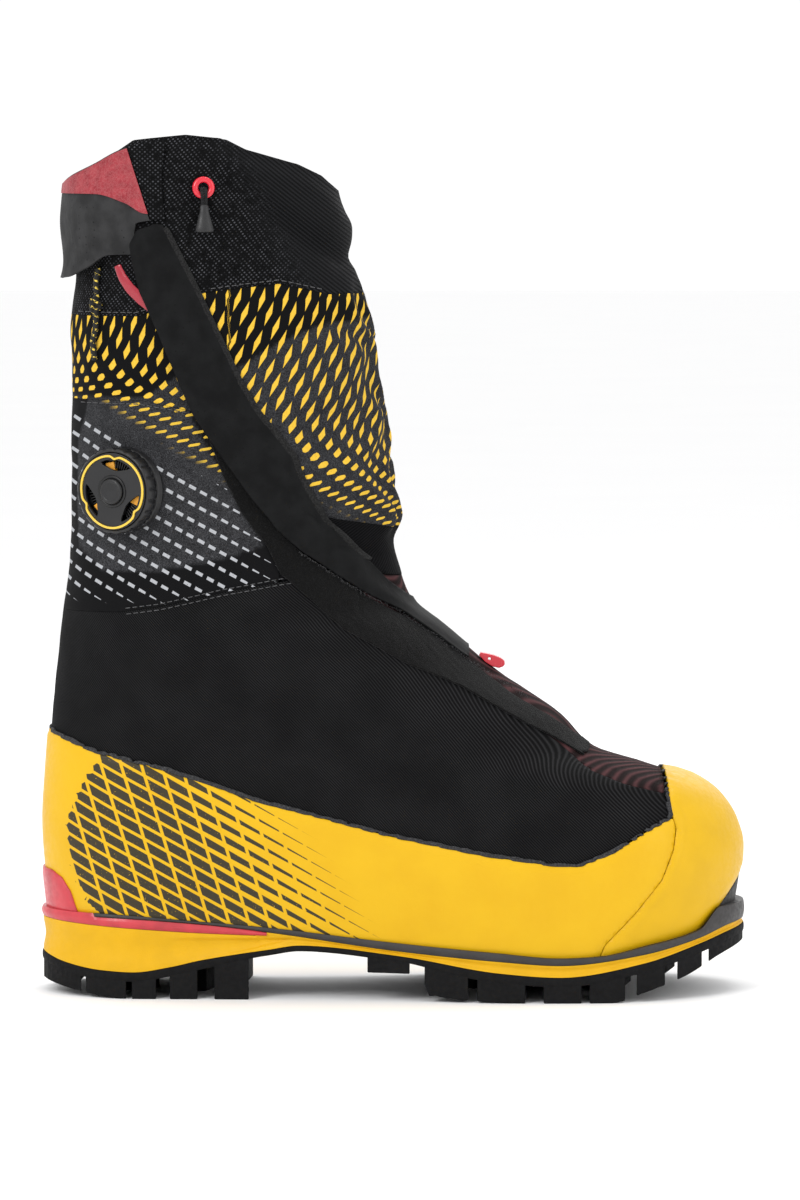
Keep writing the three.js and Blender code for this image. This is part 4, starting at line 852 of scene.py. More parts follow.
def skin_pieces():
    # Rand: dark parallelograms at the heel that thin out to slivers towards the arch.
    left = through([[20, -126], [37, -131], [46, -137], [60, -143], [77, -145], [92, -139.5], [107, -131],
                    [118, -124]])
    right = through([[25, 4], [32, 0], [73, -30], [100, -62]])
    inside = smooth(0, 0.5, PX - left(PZ))
    lean = (right(PZ) - PX) / (right(PZ) - left(PZ))
    duty = 0.74 * smooth(0.0, 0.6, lean) * inside * (PX < right(PZ))
    heel_wrap = np.where(np.abs(SIDE) < 0.02, 0, 1)
    prints = triple((PX + 0.30 * PZ) / 8.9, (PZ + 0.55 * PX) / 5.7, duty * heel_wrap)
    rand = [*RAND_EDGE, *CAP_SEAM[1:], [86, -20], [-185, -20]]
    f = np.minimum(poly(rand), FLOOR)
    thickness_bulge = 0.5 * smooth(70, 30, PZ) * smooth(-150, -120, PX)
    done(panel("rand", "rand", f, 1.6 + thickness_bulge, 1.7, {"print": prints}, 0.7), "yellow_rubber",
         "rand")

    cap = [*[[x + 0.3, z] for x, z in [*CAP_SEAM[::-1], *CAP_TOP[1:]]], [190, 130], [190, 5]]
    notch = [[132, 22], [138.5, 31.5], [147, 41], [156.6, 53], [172, 70], [190, 60], [190, 20]]
    seam, _ = path_distance([[126, 80], [124, 66], [116, 50], [104, 36]], PX, PZ)
    ridge = 0.5 * np.exp(-((np.abs(seam) - 3.2) / 0.7) ** 2) * (np.abs(SIDE) > 0.05)
    f = np.minimum(np.minimum(poly(cap), FLOOR), -poly(notch))
    done(panel("toe_cap", "cap", f, 2.0 + ridge, 2.0, None, 0.8), "yellow_rubber", "toe_cap")
    bumper = [[132.6, 22], [139, 31], [147.5, 40.4], [156.9, 52], [172, 68.5], [190, 60], [190, 20]]
    done(panel("toe_bumper", "bumper", np.minimum(poly(bumper), FLOOR), 0.9, 1.4), "black_rubber",
         "toe_bumper")
    counter = [[-185, 57], [-152, 56], [-147, 53], [-143, 47], [-140, 38], [-140, 20], [-185, 20]]
    f = np.minimum(poly(counter), FLOOR)
    done(panel("heel_counter", "red", f, 3.1, 1.4, None, 0.7), "red_plastic", "heel_counter")

    lower = [*[[x, z + 0.1] for x, z in RAND_EDGE], *CAP_TOP[1:2], *INSTEP_EDGE, *ANKLE_SEAM[1:]]
    done(panel("lower_gaiter", "gaiter", poly(lower, SEAM_GAP), 0.0, CLOTH), "ripstop", "lower_gaiter")
    edge, _ = path_distance(RAND_LINE, PX, PZ)
    rough = 0.5 * noise_field(2.6, 5.0, 2) + 0.4 * noise_field(7.0, 1.0, 2)
    band = np.minimum(edge + 0.3, 1.5 + rough - edge)
    band = np.minimum(band, smooth(150, 118, PX) * 9 - 1)
    glue = panel("rand_glue_edge", "glue", band, 1.35 - 0.3 * np.abs(edge), 1.4)
    done(glue, "black_rubber")
    instep = [*INSTEP_EDGE, [40, 182], [122, 110]]
    done(panel("instep_panel", "instep", poly(instep, SEAM_GAP), -0.1, CLOTH), "ripstop", "instep_panel")
    flex = [[-49.9, 187.5], [-20, 192.2], [40, 182.3], *CUFF_SEAM[::-1][:3]]
    done(panel("flex_panel", "flex", poly(flex, SEAM_GAP), 0.05, CLOTH), "stretch", "flex_panel")

    # Upper cuff: yellow diamonds that flatten into dashes near its lower edge.
    bottom = through([[-150, 264], [-130, 262], [-110, 252], [-85, 241], [-66, 230], [-38, 226], [-20, 218],
                      [3, 206]])
    height = PZ - bottom(PX)
    rear = smooth(-64, -80, PX)
    grid = np.arange(150, 420, 1.0)
    rear_pitch = np.interp(grid, [225, 262, 272, 292], [5.2, 5.6, 7.6, 12.4])
    front_pitch = np.interp(grid, [205, 222, 240, 268], [4.8, 6.0, 8.6, 12.6])
    rear_rows = np.interp(PZ - 0.16 * (PX + 140), grid, np.cumsum(1 / rear_pitch))
    front_rows = np.interp(PZ - 0.22 * (PX + 40) * smooth(275, 225, PZ), grid, np.cumsum(1 / front_pitch))
    rows = np.where(rear > 0.5, rear_rows, front_rows)
    flat = 1 - smooth(4, 46, height)
    lean = np.where(rear > 0.5, 0.48, 0.62)
    across = (-ARC - lean * PZ) / 11.2
    dash_print = triple(across, rows, 1.0)
    black_line = through([[-150, 268.5], [-112, 269.5], [-94, 279], [-70, 282.6], [-51, 293], [-29, 301.5],
                          [5, 306]])
    tone = triple(smooth(0.6, -0.6, PZ - black_line(PX)), smooth(-1.5, 2.5, height), 0)
    upper = [*CUFF_SEAM, *COLLAR_SEAM[::-1]]
    cuff = panel("upper_cuff", "cuff", poly(upper, SEAM_GAP), 0.0, CLOTH,
                 {"print": triple(across, rows, flat), "tone": tone})
    done(cuff, "diamond_cloth", "upper_cuff")

    # Middle cuff: a grey heather window in black, with rows of pale dashes.
    heather = [[-136.4, 269], [-141.3, 249.3], [-141.8, 222.3], [-140.4, 202], [-128.3, 191.3],
               [-101.7, 192.9], [-77.4, 197.5], [-56.7, 203.4], [-70, 228], [-85, 252.6], [-94, 272.8]]
    grey = smooth(-0.4, 0.4, poly(heather))
    row = (PZ + 0.55 * PX) / 7.4
    size = smooth(-45, -72, PX) * (0.35 + 0.65 * smooth(-52, -98, PX + 0.5 * (PZ - 230)))
    size = size * smooth(176, 186, PZ) * (PZ < 262 - 0.5 * (PX + 141))
    fade = smooth(0.34, 0.5, (PZ - 262 + 0.62 * (PX + 141)) / 34) * (SIDE > 0) * smooth(-40, -50, PX)
    dashes = triple((PX * 0.88 - PZ * 0.42 + 2.65 * np.floor(row)) / 5.4, row, size)
    dial_hole = np.linalg.norm(SKIN - beside(*DIAL_SPOT), axis=-1) - 14.0
    mid = [*ANKLE_SEAM[::-1][:5], *CUFF_SEAM[:5][::-1]]
    f = np.minimum(poly(mid, SEAM_GAP), dial_hole)
    done(panel("mid_cuff", "mid", f, 0.0, CLOTH,
               {"print": dashes, "upper_print": dash_print, "tone": triple(grey, fade, 0)}),
         "heather", "mid_cuff")

    ribbed = smooth(-62, -40, PX + 0.5 * (PZ - 340))
    collar = [*COLLAR_SEAM, *RIM[::-1]]
    hole = np.linalg.norm(SKIN - beside(*EYELET_SPOT), axis=-1) - 3.0
    f = np.minimum(poly(collar, SEAM_GAP), hole)
    knit = triple((ARC + 0.5 * PZ) / 2.3, PZ / 2.0, 1 - ribbed)
    done(panel("collar", "collar", f, 0.0, 1.6, {"print": knit}), "stretch", "collar")


skin_pieces()


# ---------------------------------------------------------------- seams and edges as threads
def tubes(name, paths, radius, sides, look, drawn=True):
    """Tubes along paths of points, with closed ends."""
    points, faces = [], []
    for path in paths:
        path = np.asarray(path, float)
        count = len(path)
        along = np.gradient(path, axis=0)
        along /= np.linalg.norm(along, axis=1, keepdims=True) + 1e-12
        up = np.array([0.0, 0, 1]) if abs(along[0][2]) < 0.9 else np.array([1.0, 0, 0])
        start = len(points)
        for i in range(count):
            side = np.cross(along[i], up)
            side /= np.linalg.norm(side) + 1e-12
            up = np.cross(side, along[i])
            for k in range(sides):
                angle = 2 * math.pi * k / sides
                points.append(path[i] + (side * math.cos(angle) + up * math.sin(angle)) * radius)
        for i in range(count - 1):
            for k in range(sides):
                a, b = start + i * sides + k, start + i * sides + (k + 1) % sides
                faces.append((a, b, b + sides, a + sides))
        faces.append(tuple(start + k for k in range(sides))[::-1])
        faces.append(tuple(start + (count - 1) * sides + k for k in range(sides)))
    return make_object(name, points, faces, look, drawn)


def resample(points, step):
    p = np.array(points, float)
    walk = np.concatenate([[0], np.cumsum(np.linalg.norm(np.diff(p, axis=0), axis=1))])
    n = max(int(walk[-1] / step), 2)
    at = np.linspace(0, walk[-1], n + 1)
    return np.stack([np.interp(at, walk, p[:, k]) for k in range(p.shape[1])], -1)


def skin_lift(x, z, side=1):
    """Where the folded skin lies at a point of the side outline."""
    turn = turn_at(x, z)
    if side < 0:
        turn = 2 * math.pi - turn
    j = np.clip((z - LEVEL_RANGE[0]) / (LEVEL_RANGE[1] - LEVEL_RANGE[0]) * (LEVELS - 1), 0, LEVELS - 1.001)
    i = turn / (2 * math.pi) * TURNS
    j0, i0 = int(j), int(i)
    tj, ti = j - j0, i - i0
    a = SKIN[j0, i0 % TURNS] * (1 - ti) + SKIN[j0, (i0 + 1) % TURNS] * ti
    b = SKIN[j0 + 1, i0 % TURNS] * (1 - ti) + SKIN[j0 + 1, (i0 + 1) % TURNS] * ti
    return a * (1 - tj) + b * tj, NORMAL[j0, i0 % TURNS]


STITCH = {"length": 2.3, "gap": 1.1, "radius": 0.22, "lift": 0.35, "step": 0.35}


def stitches(name, paths):
    """Short threads laid along paths of the side outline, on the lateral and the medial side."""
    runs = []
    period = int((STITCH["length"] + STITCH["gap"]) / STITCH["step"])
    sewn = int(STITCH["length"] / STITCH["step"]) + 1
    for path in paths:
        fine = resample(path, STITCH["step"])
        for side in (1, -1):
            for k in range(0, len(fine) - period, period):
                spots = [skin_lift(x, z, side) for x, z in fine[k:k + sewn:2]]
                runs.append([p + n * STITCH["lift"] for p, n in spots])
    done(tubes(name, runs, STITCH["radius"], 5, "thread"), "ripstop")


def offset_path(path, distance):
    p = np.array(path, float)
    d = np.gradient(p, axis=0)
    d /= np.linalg.norm(d, axis=1, keepdims=True)
    return p + np.stack([-d[:, 1], d[:, 0]], -1) * distance


stitches("gaiter_stitches", [
    offset_path(ANKLE_SEAM[:-1], -1.3),
    offset_path(ANKLE_SEAM[:-1], 1.3),
    [[-140, 266.6], [-112, 266.6], [-88, 262.5]],
    [[-139, 307.2], [-113, 307.2], [-96, 312.5]],
    [[-80, 317.8], [-50, 321.7], [-30, 317]]])


# ---------------------------------------------------------------- flap, loop strip and zip
def flap_piece():
    f = lateral_only(poly([*FLAP_FREE, *FLAP_SEWN]))
    sewn, _ = path_distance(FLAP_SEWN, PX, PZ)
    free, _ = path_distance(FLAP_FREE, PX, PZ)
    away = np.abs(sewn)
    lift = 0.9 + (3.3 + 1.7 * smooth(262, 288, PZ)) * smooth(0, 9, away) - 0.8 * smooth(3.5, 0, np.abs(free))
    lift += 0.35 * np.sin(PZ / 11.0) * smooth(2, 8, away)
    obj = panel("zip_flap", "flap", f, lift, 0.9)
    points, faces, _ = clip(SKIN.reshape(-1, 3), QUADS, {}, f.reshape(-1))
    area = area_of(points, faces)
    tuple(world([-62, -60, 226]))
    tuple(world([-66, -60, 246]))
    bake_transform(obj)
    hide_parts("flap_upper", "flap_lower")
    hem = lateral_only(1.3 - np.abs(sewn + 0.4))
    hem = np.minimum(hem, np.minimum(PZ - 196, 345 - PZ))
    done(panel("flap_hem_tape", "tape", hem, 1.0, 0.7), "flap_cloth", "flap_hinge_tape")


flap_piece()


def hook_piece():
    f = lateral_only(poly(HOOK_STRIP))
    pile = 0.3 * noise_field(1.6, 4.0, 2)
    done(panel("loop_strip", "fuzz", f, 1.0 + pile, 0.9), "hook_loop", "hook_strip")
    # Hooks stand in a ragged fringe along the free edge of the flap's lower part.
    rng = random.Random(7)
    runs = []
    edge = resample([[-41.4, 201.2], [-30.2, 193.1], [-14.1, 181.9], [2, 172.2], [18, 161.6], [33, 150.1],
                     [46, 141.2], [60, 132.5]], 0.55)
    for x, z in edge:
        p, n = skin_lift(x, z)
        height = 1.6 + rng.random() * 1.2
        tip = np.array([rng.uniform(-0.9, 0.5), 0, rng.uniform(-1.3, -0.2)])
        runs.append([p + n * (height - 0.9), p + n * (height + 0.4) + tip * 0.5,
                     p + n * (height + 0.3) + tip])
    done(tubes("hook_fringe", runs, 0.11, 3, "thread"), "hook_loop")


hook_piece()


def zip_piece():
    d, _ = path_distance(ZIP_LINE, PX, PZ)
    f = lateral_only(4.0 - np.abs(d))
    f = np.minimum(f, np.minimum(333 - PZ, PZ - 191))
    done(panel("zip_tape", "tape", f, 0.75, 0.6), "hook_loop", "zip_tape")
    runs = []
    for k, (x, z) in enumerate(resample(ZIP_LINE, 1.15)[2:-2]):
        p, n = skin_lift(x, z)
        q, _ = skin_lift(x + 0.9, z + 0.35)
        across = (q - p) / np.linalg.norm(q - p)
        side = 1 if k % 2 else -1
        runs.append([p + n * 1.2 + across * side * 0.1, p + n * 1.2 + across * side * 1.7])
    done(tubes("zip_teeth", runs, 0.42, 6, "dial"), "dark_plastic", "zip_teeth")

    # The slider's pull band sticks out above the flap's free edge. It is stiff enough to stand off
    # the cuff, so that it clears the cuff when the zip opens.
    points = []
    line = resample([(-97.5, 304), (-104, 308.5), (-109.5, 313), (-113.5, 318), (-116.3, 323.5),
                     (-118, 328.5)], 1.2)
    rows = len(line)
    for k, (x, z) in enumerate(line):
        t = k / (rows - 1)
        p, n = skin_lift(x, z)
        tangent = line[min(k + 1, rows - 1)] - line[max(k - 1, 0)]
        tangent = tangent / np.linalg.norm(tangent)
        across = np.array([tangent[1], 0, -tangent[0]])
        across -= n * across.dot(n)
        across /= np.linalg.norm(across)
        half = 2.5 * (1 - 0.35 * t ** 4)
        stand = 2.7 + 2.8 * smooth(0.3, 0.8, t)
        for side_at in (-1, -0.5, 0, 0.5, 1):
            points.append(p + n * (stand + 0.5 * (1 - side_at ** 2)) + across * half * side_at)
    band = make_object("zip_pull_band", points, grid_faces(rows, 5), "dark_red")
    modifier(band, "SOLIDIFY", thickness=0.9 * MM, offset=0.0)
    bevel_edges(band, 0.3, 2, 1.0)
    apply_all(band)
    done(band, "red_plastic", "zip_puller", body="zip_slider")


zip_piece()


# ---------------------------------------------------------------- sheets that wrap the collar
STRAP_ENDS = (-50, 74)
strap_low = through([[-50, 330], [-20, 325], [0, 321], [20, 322], [34, 327], [46, 333], [57, 333], [62, 347],
                     [80, 349]])
strap_high = through([[-50, 352], [-20, 360], [0, 364], [20, 367], [40, 373], [60, 381], [80, 384]])
patch_low = through([[5, 360], [43, 359.5], [58, 355.5], [66, 351], [80, 350]])
STRAP_CLEAR, STRAP_BULGE = 0.8, 6.5


def strap_surface(turn, z, lift):
    t = (z - strap_low(turn)) / (strap_high(turn) - strap_low(turn))
    bulge = STRAP_BULGE * (1 - np.clip(t, 0, 1)) ** 1.3 * smooth(-50, -14, turn) * smooth(58, 26, turn)
    ripple = 0.35 * np.sin(turn / 5.0 + z / 9.0)
    return outside(np.radians(turn), z, STRAP_CLEAR + bulge + ripple + lift)


def wrap_sheet(name, look, ends, low, high, lift, thick, cut=None, columns=90, rows=34):
    turns = np.linspace(*ends, columns + 1)
    t = np.linspace(0, 1, rows + 1)
    turn, part = np.meshgrid(turns, t)
    z = low(turn) + (high(turn) - low(turn)) * part
    points = strap_surface(turn, z, lift).reshape(-1, 3)
    faces = grid_faces(rows + 1, columns + 1)
    if cut is not None:
        points, faces, _ = clip(points, faces, {}, cut(points))
    obj = make_object(name, points, faces, look)
    knit = np.stack([points[:, 0] / 2.3 + 0.25, points[:, 2] / 2.0, np.ones(len(points))], -1)
    put_attributes(obj, {"print": knit})
    area = area_of(points, faces)
    modifier(obj, "SOLIDIFY", thickness=thick * MM, offset=1.0)
    bevel_edges(obj, 0.25, 2, 1.0)
    return apply_all(obj), area


def fold_side(points):
    """Positive on the strap's side of the line that it folds about, in the side outline."""
    (ax, az), (bx, bz) = (-122.5, 398), (-103.5, 340)
    length = math.hypot(bx - ax, bz - az)
    d = ((bx - ax) * (points[:, 2] - az) - (bz - az) * (points[:, 0] - ax)) / length
    return np.where(points[:, 1] < 0, d, -20)


def strap_pieces():
    def cut_strap(points):
        return -fold_side(points) - 0.6

    def patch_high(turn):
        return strap_high(turn) - 0.8

    strap, area = wrap_sheet("collar_strap", "strap", STRAP_ENDS, strap_low, strap_high, 0.0, 1.2, cut_strap)
    done(strap, "flap_cloth", "collar_strap", body="closing_strap")
    base, _ = wrap_sheet("strap_base", "collar", (55, 74), strap_low, strap_high, 0.0, 1.2, fold_side, 30, 24)
    done(base, "flap_cloth", "strap_base")
    patch, _ = wrap_sheet("strap_patch", "patch", (5, 73), patch_low, patch_high, 1.35, 0.5, cut_strap, 60,
                          20)
    done(patch, "red_cloth", "strap_patch", body="closing_strap")


strap_pieces()


# ---------------------------------------------------------------- sole unit
frame_bottom = through([
    [-165, 36.8], [-128, 36.4], [-86, 33.8], [-55, 30.4], [3.6, 22.6], [48, 18.7], [75, 17], [112, 21.3],
    [138, 27.2], [152, 31.5], [165, 33]])
insert_bottom = through([[-165, 34.2], [-131, 32.6], [-86, 29.9], [-50, 28.6]])
midsole_bottom = through([
    [-165, 20.5], [-147, 14.9], [-131, 12.6], [-116, 12], [-99, 14.5], [-86, 17.5], [-55, 22.6],
    [-41, 24.6], [3.6, 20.4], [48, 13.4], [75, 11.6], [112, 17.3], [138, 24.6], [152, 28.6], [165, 31]])
lug_bottom = through([
    [-165, 7.2], [-147, 3.6], [-132, 1.2], [-120, 0], [-60, 0], [-40, 13], [12, 12.4], [17, 3.4],
    [40, 0.6], [55, 0], [98, 0], [112, 4], [132, 10.8], [148, 18.6], [165, 24]])


def tread_base(x):
    return midsole_bottom(x) - (2.6 + 1.6 * (smooth(-55, -90, x) + smooth(5, 30, x)))


PLAN_STEPS = 400


def plan_outline(grow=0.0):
    turn = np.arange(PLAN_STEPS) / PLAN_STEPS * 2 * math.pi
    p = cloth_point(turn, np.full(PLAN_STEPS, 46.0))
    n = cloth_normal(turn, np.full(PLAN_STEPS, 46.0))
    n[:, 2] = 0
    n /= np.linalg.norm(n, axis=1, keepdims=True)
    out = 1.6 + 2.4 * np.abs(np.cos(turn)) ** 6 + grow
    return (p + n * out[:, None])[:, :2]


def layer(name, look, lower, upper, grow, profile, x_range=(-200, 200), bevel=0.5, rows=5, dent=None):
    """A layer of the sole between two height curves. profile draws its wall in, from 0 below to 1 above."""
    direction = plan_outline() - np.array([0.0, 2.0])
    direction /= np.linalg.norm(direction, axis=1, keepdims=True)
    points, faces = [], []
    for k in range(rows + 1):
        t = k / rows
        xy = plan_outline(grow - profile(t))
        x = xy[:, 0]
        z = lower(x) + (upper(x) - lower(x)) * t
        if dent is not None:
            xy = xy - direction * dent(x, z)[:, None]
        points += [(*p, h) for p, h in zip(xy, z)]
    n = PLAN_STEPS
    for k in range(rows):
        for i in range(n):
            a, b = k * n + i, k * n + (i + 1) % n
            faces.append((a, b, b + n, a + n))
    # The caps are strips across the boot, so that they follow the height curves.
    half = n // 2
    for base, flip in ((0, True), (rows * n, False)):
        for i in range(half):
            a, b = base + i, base + i + 1
            c, d = base + (n - i) % n, base + (n - i - 1) % n
            quad = [a, b, d, c] if i + 1 < half else [a, b, c]
            quad = [q for j, q in enumerate(quad) if q not in quad[:j]]
            if len(quad) > 2:
                faces.append(tuple(quad if flip else quad[::-1]))
    obj = make_object(name, points, faces, look)
    bm = bmesh.new()
    bm.from_mesh(obj.data)
    if x_range[0] > -190:
        cut_plane(bm, x_range[0], True)
    if x_range[1] < 190:
        cut_plane(bm, x_range[1], False)
    save(bm, obj.data)
    bevel_edges(obj, bevel, 3, 0.7)
    modifier(obj, "WEIGHTED_NORMAL")
    return apply_all(obj)


def cut_plane(bm, x, keep_right):
    geometry = bm.verts[:] + bm.edges[:] + bm.faces[:]
    cut = bmesh.ops.bisect_plane(bm, geom=geometry, plane_co=Vector(world([x, 0, 0])), plane_no=(1, 0, 0),
                                 clear_inner=keep_right, clear_outer=not keep_right)
    edges = [e for e in cut["geom_cut"] if isinstance(e, bmesh.types.BMEdge)]
    bmesh.ops.contextual_create(bm, geom=edges)


def prism(bm, outline):
    """A block of the tread, from the ground into the tread's base."""
    bottom = [bm.verts.new(world([x, y, lug_bottom(x)])) for x, y in outline]
    top = [bm.verts.new(world([x, y, tread_base(x) + 0.6])) for x, y in outline]
    bm.faces.new(bottom[::-1])
    bm.faces.new(top)
    n = len(outline)
    for i in range(n):
        bm.faces.new((bottom[i], bottom[(i + 1) % n], top[(i + 1) % n], top[i]))


HEEL_LUGS = [(-166, -139.5), (-137.5, -119), (-116.5, -105.5), (-99.5, -87), (-79.5, -64)]
MIDDLE_LUGS = [(-124, -110), (-98, -84), (26, 38), (48, 60), (72, 84), (94, 104), (114, 124)]
LUG_SKEW = 1.8
FOREFOOT_LUGS = [(-11, 8), (14.5, 34), (38, 59.5), (67.5, 84.5), (88, 104), (109, 122), (127.5, 139),
                 (142, 166)]


def sole_pieces():
    outline = plan_outline(-0.2)
    lateral = outline[: PLAN_STEPS // 2 + 1]
    medial = outline[PLAN_STEPS // 2:][::-1]
    bm = bmesh.new()
    for x0, x1 in [*HEEL_LUGS, *FOREFOOT_LUGS]:
        for side, edge in ((-1, lateral), (1, medial)):
            order = np.argsort(edge[:, 0])
            ex, ey = edge[order, 0], edge[order, 1]
            lo, hi = max(x0, ex[0] + 0.6), min(x1, ex[-1] - 0.6)
            reach = 12.0 + 0.45 * (x1 - x0)
            xs = np.linspace(lo, hi, 9)
            outer = [(x, np.interp(x, ex, ey)) for x in xs]
            top_y = np.interp([lo, hi], ex, ey)
            inner_y = side * max(min(abs(top_y[0]), abs(top_y[1])) - reach, 3.5)
            mid = (lo + hi) / 2
            inner = [(hi - LUG_SKEW, inner_y), (mid, inner_y - side * LUG_SKEW), (lo + LUG_SKEW, inner_y)]
            ring = [*outer, *inner]
            prism(bm, ring[::-1] if side > 0 else ring)
    for k, (x0, x1) in enumerate(MIDDLE_LUGS):
        half, lean = 11 + (k % 2) * 3, 4.5
        ring = [(x0, -half), (x1, -half), (x1 + lean, 0), (x1, half), (x0, half), (x0 + lean, 0)]
        prism(bm, ring)
    lugs = add_object("outsole_lugs", save(bm, bpy.data.meshes.new("outsole_lugs")), "rubber")
    bevel_edges(lugs, 0.7, 2, 0.5)
    done(apply_all(lugs), "black_rubber")
    base = layer("outsole", "rubber", tread_base, lambda x: midsole_bottom(x) - 0.25, 0.0,
                 lambda t: 0.35 * abs(2 * t - 1) ** 3)
    done(base, "black_rubber", "outsole")

    def wedge_top(x):
        return np.where(x < -60, insert_bottom(x), frame_bottom(x)) - 0.2
    swoosh = [[-98, 27], [-46, 27.3], [-64, 22.6], [-80, 19.4], [-90, 18.2], [-96, 21]]

    def recess(x, z):
        return 1.1 * smooth(-0.6, 0.6, polygon_distance(swoosh, x, z))
    foam = layer("midsole", "foam", midsole_bottom, wedge_top, -0.5,
                 lambda t: math.sin(math.pi * t) ** 2, bevel=0.8, rows=22, dent=recess)
    done(foam, "yellow_foam", "midsole")
    insert = layer("heel_insert", "red", insert_bottom,
                   lambda x: np.where(x < -134, SOLE_TOP_CURVE(x), frame_bottom(x) - 0.2), 0.3,
                   lambda t: 0.7 * (1 - math.sin(math.pi * t)), (-200, -56), 0.7)
    done(insert, "red_plastic", "heel_insert")
    rail = layer("welt_frame", "frame", frame_bottom, SOLE_TOP_CURVE, 0.2,
                 lambda t: 0.5 * (1 - math.sin(math.pi * t)), (-133.5, 200), 0.6)
    done(rail, "dark_plastic", "welt_frame")


sole_pieces()


# ---------------------------------------------------------------- dial
def axes(x, y, z, at):
    return Matrix([(x[k], y[k], z[k], at[k]) for k in range(3)] + [(0, 0, 0, 1)])


def upright(out, at):
    """Axes of a piece on the boot's side: x forward, y up and z outwards."""
    forward = np.cross([0, 0, 1], out)
    forward /= np.linalg.norm(forward)
    if forward[0] < 0:
        forward = -forward
    return axes(forward, np.cross(out, forward), out, at)


DIAL_MATRIX = upright(np.array(JOINT["dial_turn"]["axis"], float), DIAL_AT * MM)


def polar(radius, angle):
    return radius * math.cos(angle), radius * math.sin(angle)


def lathe(name, profile, look, matrix, segments=96, ripple=None, bevel=0.0):
    """A turned ring or disc. profile is a closed loop of (radius, height); ripple changes the radius."""
    count = len(profile)
    points, faces = [], []
    for s in range(segments):
        angle = 2 * math.pi * s / segments
        for k, (r, h) in enumerate(profile):
            radius = r + (ripple(angle, k) if ripple else 0)
            points.append((*polar(radius, angle), h))
    for s in range(segments):
        for k in range(count):
            a, b = s * count + k, s * count + (k + 1) % count
            c, d = ((s + 1) % segments) * count + (k + 1) % count, ((s + 1) % segments) * count + k
            faces.append((a, b, c, d))
    obj = make_object(name, points, faces, look, drawn=False)
    merged(obj.data, 1e-4)
    place(obj, matrix)
    if bevel:
        bevel_edges(obj, bevel, 3, 0.5)
        modifier(obj, "WEIGHTED_NORMAL")
        apply_all(obj)
    return obj


def flat_shape(name, outlines, low, high, look, matrix, bevel=0.2):
    """A flat plate from closed outlines; the first is its edge and the rest are holes."""
    curve = bpy.data.curves.new(name, "CURVE")
    curve.dimensions, curve.fill_mode = "2D", "BOTH"
    for outline in outlines:
        spline = curve.splines.new("POLY")
        spline.points.add(len(outline) - 1)
        spline.points.foreach_set("co", [c for x, y in outline for c in (x, y, 0, 1)])
        spline.use_cyclic_u = True
    curve.extrude = (high - low) / 2 - bevel
    curve.bevel_depth, curve.bevel_resolution = bevel, 2
    curve.offset = -bevel
    holder = link(bpy.data.objects.new(name, curve))
    graph = bpy.context.evaluated_depsgraph_get()
    mesh = bpy.data.meshes.new_from_object(holder.evaluated_get(graph), depsgraph=graph)
    bpy.data.objects.remove(holder)
    obj = add_object(name, merged(mesh, 1e-3), look)
    obj.data.transform(Matrix.Translation((0, 0, (low + high) / 2)))
    return place(obj, matrix)


def circle(radius):
    return [polar(radius, 2 * math.pi * k / 96) for k in range(96)]


